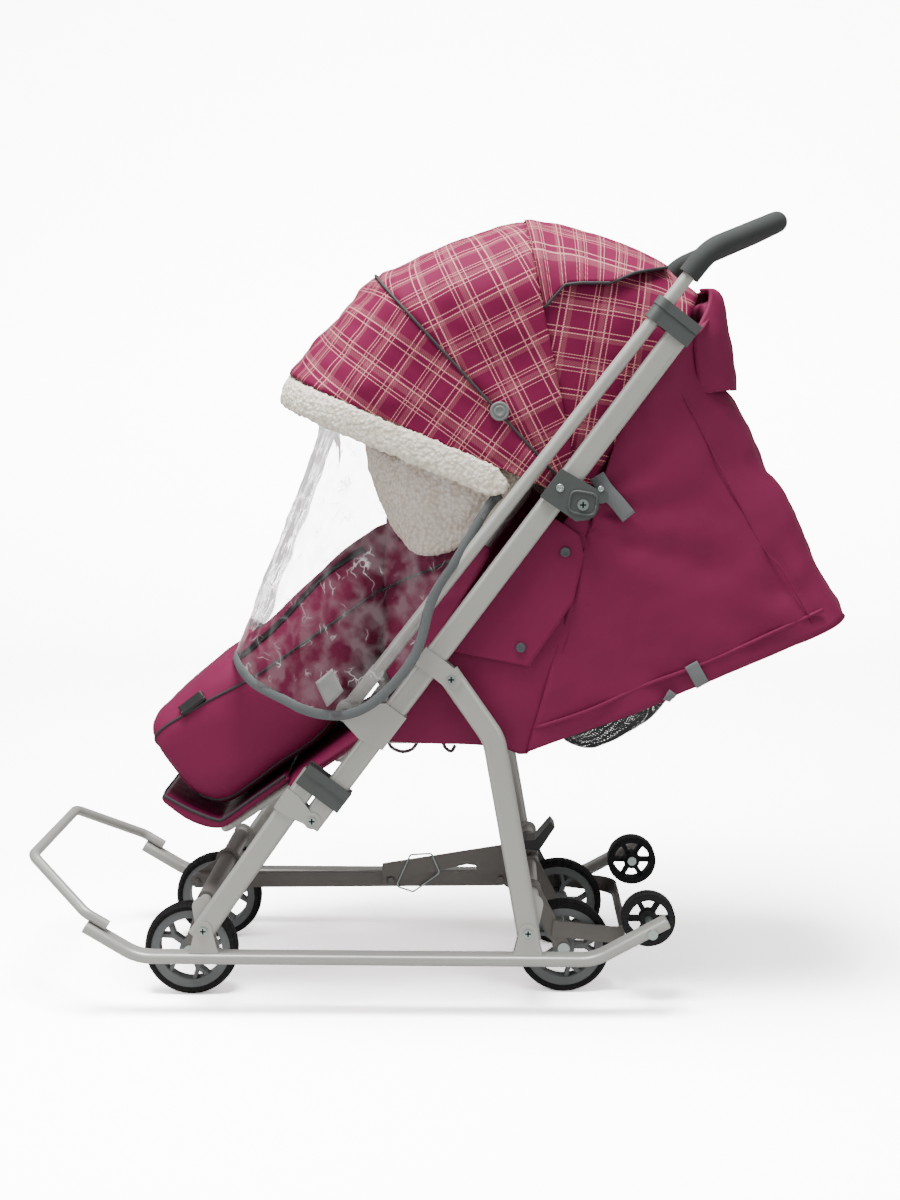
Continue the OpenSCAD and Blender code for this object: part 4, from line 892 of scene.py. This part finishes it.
# Back of the seat
# A deep cloth bay between the main tubes and the reclined backrest, sewn from two sides, a back and a base.
bay_top = evenly(whole([
    (205, -188, 645), (247, -188, 776), (312, -188, 864), (346.8, -168, 895), (364.8, -110, 925), (366.8, 0, 929),
]), 121)
bay_low = evenly(whole([
    (124, -188, 346), (253.4, -188, 394), (402.7, -184, 458), (514.5, -172, 504.7), (540.4, -120, 521),
    (544.2, 0, 522.5),
]), 121)
bay_rows = []
for i in range(49):
    v = i / 48
    arch = sin(pi * v)
    row = []
    for j, (top, low) in enumerate(zip(bay_top, bay_low)):
        p = top.lerp(low, v)
        middle = 1 - abs(j - 60) / 60
        swell = 10 * arch * min(1.0, 0.15 + 1.6 * max(0.0, middle - 0.3))
        p.x += 0.8 * swell - 40 * sin(pi * sqrt(v)) * clamp((middle - 0.34) / 0.16)
        belly = max(0.0, 4 * arch * (1 - abs(2 * middle - 0.6)))
        p.y += copysign(belly, p.y) if abs(p.y) > 60 else 0
        row.append(p)
    bay_rows.append(row)


def bay_fold(p):
    """Slack folds that gather towards the back, and a few long ones from the hinge."""
    back = clamp((p.x - 330) / 120)
    slack = sin((0.35 * p.x + p.z) / 19 + 3.0 * crease(p, 90, 6.0)) * back * 3.4
    long = sin(atan2(p.z - 650, p.x - 180) * 11 + 1.2 * crease(p, 120, 8.0)) * (1 - back) * 2.6
    return slack + long


bay_depth, bay_size, bay_seed = 4.5, 85, 21.0
shell = drape(
    "back_bay", bay_rows, 2.4, cloth, "upper_frame", depth=bay_depth, size=bay_size, seed=bay_seed, fold=bay_fold
)
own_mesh(shell)
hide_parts("back_shell")
bay_near = [p for row in bay_rows for p in row[:60]]


def on_bay(x, z):
    """The point of the bay's near side that lies at x, z in the side view."""
    p = nearest(bay_near, x, z).copy()
    p.y -= 3 + (bay_depth * crease(p, bay_size, bay_seed) + bay_fold(p)) * 0.9
    return p


for label, line, fat in (
    ("seam", [(307, 824), (340, 762), (380, 689), (423, 609), (443, 590), (493, 516)], 1.0),
    ("hem", [(134, 380), (200, 405), (270, 433), (350, 464), (430, 498), (505, 529)], 2.6),
):
    path = evenly([on_bay(x, z) for x, z in line], 40)
    roll = sweep(f"bay_{label}_near", path, round_bar(fat), cloth, "upper_frame", across=(0, 1, 0.3))
    for piece in both(roll, "upper_frame"):
        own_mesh(piece)

# Webbing
# Woven grey tape: a strap through the hinge, two belt ends under the seat, and two loops sewn to the bay's lower seam.
# Polyester webbing: matt, with coarse uneven ribs
webbing = finish("woven_webbing", "#6d7071", 0.8, grain=1.4, bump=0.6, shade=0.25)
path = evenly([(211, -197, 704), (222, -199, 687), (238, -201, 669), (252, -200, 652)], 16)
strap = sweep("hinge_strap_near", path, strip(20, 1.6), webbing, "upper_frame", across=(0.72, 0, 0.69))
for piece in both(strap, "upper_frame"):
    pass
# The belt ends are of a darker tape
tape_dark = finish("dark_webbing", "#54434a", 0.85, grain=1.4, bump=0.6, shade=0.25)
for k, (y, line) in enumerate((
    (-150, [(-56, 356), (-54, 345), (-40, 338), (-26, 341), (-18, 352)]),
    (-146, [(14, 354), (18, 343), (26, 338), (31, 346)]),
)):
    path = evenly([(x, y, z) for x, z in line], 16)
    belt = sweep(f"belt_end_near_{k}", path, round_bar(2.4), tape_dark, "seat")
    for piece in both(belt, "seat"):
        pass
for k, (line, wide) in enumerate((([(332, 464), (349, 430)], 18), ([(309, 430), (309, 413)], 12))):
    top, low = (on_bay(x, z) + Vector((0, -3, 0)) for x, z in line)
    path = evenly([top, top.lerp(low, 0.5) + Vector((0, -1, 0)), low], 10)
    loop = sweep(f"bay_loop_near_{k}", path, strip(wide, 1.8), webbing, "upper_frame", across=(0.9, 0, 0.4))
    for piece in both(loop, "upper_frame"):
        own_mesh(piece)

# Net pocket
# A bag of black knitted net with a bound mouth, sewn under the backrest.
# Polyester net: black threads round open meshes 4 mm apart
net = finish("knitted_net", "#101012", 0.6)
tree = net.node_tree
uv_at = add(tree, "UVMap", uv_map="UVMap")["UV"]
flip = add(tree, "VectorMath", {0: uv_at, 1: (1, -1, 1)}, operation="MULTIPLY")["Vector"]
one, two = (
    add(tree, "TexWave", {"Vector": at, "Scale": 110.0}, bands_direction="DIAGONAL")["Fac"] for at in (uv_at, flip)
)
threads = add(tree, "Math", {0: one, 1: two}, operation="MAXIMUM")["Value"]
feed(tree, "Alpha", add(tree, "Math", {0: threads, 1: 0.22}, operation="GREATER_THAN")["Value"])
pocket_half = 130
pocket_line = [(40, 12), (36, 30), (62, 52), (100, 54), (150, 44), (190, 20), (192, 12)]
outline = [back_foot + d * back_way - s * back_up for d, s in pocket_line]
path = evenly([(p.x, 0, p.y) for p in outline], 40)
rows, uv = [], []
for i, p in enumerate(path):
    row, row_uv, rim_at = [], [], path[0].lerp(path[-1], i / 39)
    for j in range(61):
        y = pocket_half * sin(pi / 2 * (j / 30 - 1))
        deep = max(0.0, 1 - abs(y / pocket_half) ** 12) ** 0.4
        at = rim_at.lerp(p, deep)
        row.append(Vector((at.x, y, at.z)))
        row_uv.append((0.001 * y + copysign(0.05 * (1 - deep), y), i * 0.006))
    rows.append(row)
    uv.append(row_uv)
pocket = drape("net_pocket", rows, 0, net, "upper_frame", depth=2.0, size=40, seed=31.0, uv=uv)
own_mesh(pocket)
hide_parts("mesh_pocket")


# Rain cover
# Clear soft film hung from the hood's edge down over the muff, with its hem bound in grey tape.
# Soft clear film: seen through, with bright reflections edge on, which a gloss colour of 2 doubles: half real
# reflection, half painted reflection
film = bpy.data.materials.new("clear_film")
film.use_nodes = True
tree = film.node_tree
tree.nodes.remove(tree.nodes["Principled BSDF"])
where = add(tree, "TexCoord")["Object"]
folds = add(tree, "TexNoise", {"Vector": where, "Scale": 26.0, "Detail": 3.0, "Distortion": 1.4})["Fac"]
normal = add(tree, "Bump", {"Strength": 0.5, "Distance": 0.005, "Height": folds})["Normal"]
# Painted reflection: the gloss colour of 2 reflects twice the light that falls on the film
gloss = add(tree, "BsdfGlossy", {"Color": (2, 2, 2, 1), "Roughness": 0.03, "Normal": normal})["BSDF"]
clear = add(tree, "BsdfTransparent", {"Color": (0.9, 0.88, 0.887, 1)})["BSDF"]
edge_on = add(tree, "LayerWeight", {"Blend": 0.05})["Fresnel"]
film_mix = add(tree, "MixShader", {"Fac": edge_on, 1: clear, 2: gloss})["Shader"]
# Painted light: an emission paints a soft haze where crumpled folds would turn light to the viewer, and painted
# highlights as short bright lines along their ridges
crumpled = stirred(tree, where, 22.0, 3.0, 0.06)
drawn = add(tree, "VectorMath", {0: crumpled, 1: (1.5, 1.0, 0.8)}, operation="MULTIPLY")["Vector"]
hump = add(tree, "TexVoronoi", {"Vector": drawn, "Scale": 38.0, "Smoothness": 0.35}, feature="SMOOTH_F1")["Distance"]
ridge = add(tree, "TexVoronoi", {"Vector": drawn, "Scale": 38.0}, feature="DISTANCE_TO_EDGE")["Distance"]
patch_at = add(tree, "TexNoise", {"Vector": where, "Scale": 30.0, "Detail": 2.0})["Fac"]
fine_line = add(tree, "MapRange", {"Value": ridge, "From Max": 0.03, "To Min": 1.0, "To Max": 0.0})["Result"]
glint_patch = add(tree, "MapRange", {"Value": patch_at, "From Min": 0.56, "From Max": 0.66})["Result"]
painted_glints = add(tree, "Math", {0: fine_line, 1: glint_patch}, operation="MULTIPLY")["Value"]
veil = add(tree, "Math", {0: hump, 1: folds}, operation="MULTIPLY")["Value"]
veil_ends = {"From Min": 0.15, "From Max": 0.42, "To Min": 0.005, "To Max": 0.13}
painted_haze = add(tree, "MapRange", {"Value": veil, **veil_ends})["Result"]
painted_highlight = add(tree, "Math", {0: painted_glints, 1: 0.7, 2: painted_haze}, operation="MULTIPLY_ADD", use_clamp=True)["Value"]
# Painted glow: the haze and the highlight lines are emitted, not lit by the lamps
painted_glow = add(tree, "Emission", {"Color": (1, 0.97, 0.98, 1), "Strength": 0.85})["Emission"]
surface = add(tree, "MixShader", {"Fac": painted_highlight, 1: film_mix, 2: painted_glow})["Shader"]
tree.links.new(surface, tree.nodes["Material Output"].inputs["Surface"])
# The near hem from the hinge to the middle, as x and z from the hinge
cover_hem = [
    (-104, 6), (-122, -16), (-158, -74), (-188, -122), (-210, -194), (-252, -246), (-292, -270), (-332, -271),
    (-374, -257), (-424, -237), (-452, -212), (-468, -224),
]


def cover_point(t, v):
    """A point on the near half of the cover: t from the hinge to the middle, v from the hood down to the hem."""
    reach = 104 + 244 * min(1, t * 1.45)
    angle = (161.5 + 8 * (1 - t)) * DEG
    top = Vector((reach * cos(angle), reach * sin(angle)))
    p = top.lerp(spline(cover_hem, t), v)
    wide = 1 - 0.22 * clamp((t - 0.7) / 0.15)
    if t > 0.85:
        wide *= cos(pi / 2 * (t - 0.85) / 0.15)
    over = clamp((t - 0.04) / 0.22) * min(1.0, 1.4 * v)
    return Vector((hinge.x + p.x, -(184 + 48 * over) * wide, hinge.y + p.y))


def cover_row(v):
    """The cover's points from the near hinge to the far one."""
    return [Vector(p) for p in whole([cover_point(j / 60, v) for j in range(61)])]


cover = drape("film_cover", [cover_row(i / 39) for i in range(40)], 0, film, None, depth=3.0, size=45, seed=41.0)
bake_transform(cover)
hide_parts("rain_cover")
# Grey woven binding: matt, with a thread grain of 1 mm
binding_tape = finish("binding_tape", "#5a5e5f", 0.75, grain=1.0, bump=0.4)
hem, above = cover_row(1.0), cover_row(0.93)
lean = [(q - p).normalized() for p, q in zip(hem, above)]
path = [p + 5 * way for p, way in zip(hem, lean)]
binding = sweep("cover_binding", path, strip(13, 2.4), binding_tape, None, across=lean)
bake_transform(binding)
# Pale hook tape: matt, and uneven from its small hooks
hook_tape = finish("hook_tape", "#8d8d8a", 0.85, grain=1.0, bump=0.5, shade=0.15)
rows = []
for i in range(9):
    turn = [(0.8 * (j / 4 - 1) - 0.6 * (i / 4 - 1), 0.6 * (j / 4 - 1) + 0.8 * (i / 4 - 1)) for j in range(9)]
    rows.append([cover_point(0.61 + 0.03 * a, 0.885 + 0.05 * b) + Vector((0, -3.5, 0)) for a, b in turn])
hook = drape("hook_tab_near", rows, 1.6, hook_tape, None, depth=1.2, size=20, seed=43.0)
for piece in both(hook, None):
    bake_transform(piece)

# Studio
# A pale paper sweep under and behind the stroller, lit by large soft boxes.
paper = finish("backdrop_paper", "#f4f3f1", 0.9)
tree = paper.node_tree
rearward = add(tree, "SeparateXYZ", {"Vector": add(tree, "TexCoord")["Object"]})["Y"]
far = add(tree, "MapRange", {"Value": rearward, "From Min": 0.6, "From Max": 4.2})["Result"]
lit = add(tree, "Mix", {"Factor": far, "A": (6.2, 6.16, 6.1, 1), "B": (16, 15.9, 15.8, 1)}, data_type="RGBA")["Result"]
seen = add(tree, "LightPath")["Is Camera Ray"]
tone = add(tree, "Mix", {"Factor": seen, "A": srgb("#d2d1cf"), "B": lit}, data_type="RGBA")["Result"]
feed(tree, "Base Color", tone)
wall, bend, side = 4500, 1800, 9000
sweep_line = [(-side, 0), (-3000, 0)]
for k in range(41):
    a = pi * k / 80
    sweep_line.append((wall - bend + bend * sin(a), bend - bend * cos(a)))
sweep_line += [(wall, 4000), (wall, 7000)]
rows = [[Vector((x, y, z)) for x in (-side, -side / 2, 0, side / 2, side)] for y, z in sweep_line]
floor = drape("backdrop", rows, 0, paper, None)
floor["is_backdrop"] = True


def soft_box(name, at, size, power):
    """A square area light that points at the stroller's middle."""
    light = bpy.data.lights.new(name, "AREA")
    light.energy, light.size = power, size
    lamp = bpy.data.objects.new(name, light)
    lamp.location = at
    lamp.rotation_euler = (Vector((0, 0, 0.6)) - Vector(at)).to_track_quat("-Z", "Y").to_euler()
    bpy.context.scene.collection.objects.link(lamp)


soft_box("top_box", (-0.2, -0.4, 2.8), 1.3, 140)
soft_box("left_box", (-2.6, -1.6, 1.9), 1.8, 30)
soft_box("right_box", (2.4, -2.2, 1.6), 1.6, 22)
world = bpy.context.scene.world = bpy.data.worlds.new("studio")
world.use_nodes = True
tree = world.node_tree
seen = add(tree, "LightPath")["Is Camera Ray"]
level = add(tree, "MapRange", {"Value": seen, "To Min": 0.42, "To Max": 4.5})["Result"]
ground = tree.nodes["Background"].inputs
ground["Color"].default_value = (1, 1, 1, 1)
tree.links.new(level, ground["Strength"])

camera_data = bpy.data.cameras.new("camera")
camera_data.lens, camera_data.sensor_width = 55.2, 36
camera = bpy.data.objects.new("camera", camera_data)
camera.location = (0.080, -2.529, 0.834)
camera.rotation_euler = (82.94 * DEG, 0, 1.34 * DEG)
bpy.context.scene.collection.objects.link(camera)
bpy.context.scene.camera = camera

low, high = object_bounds()
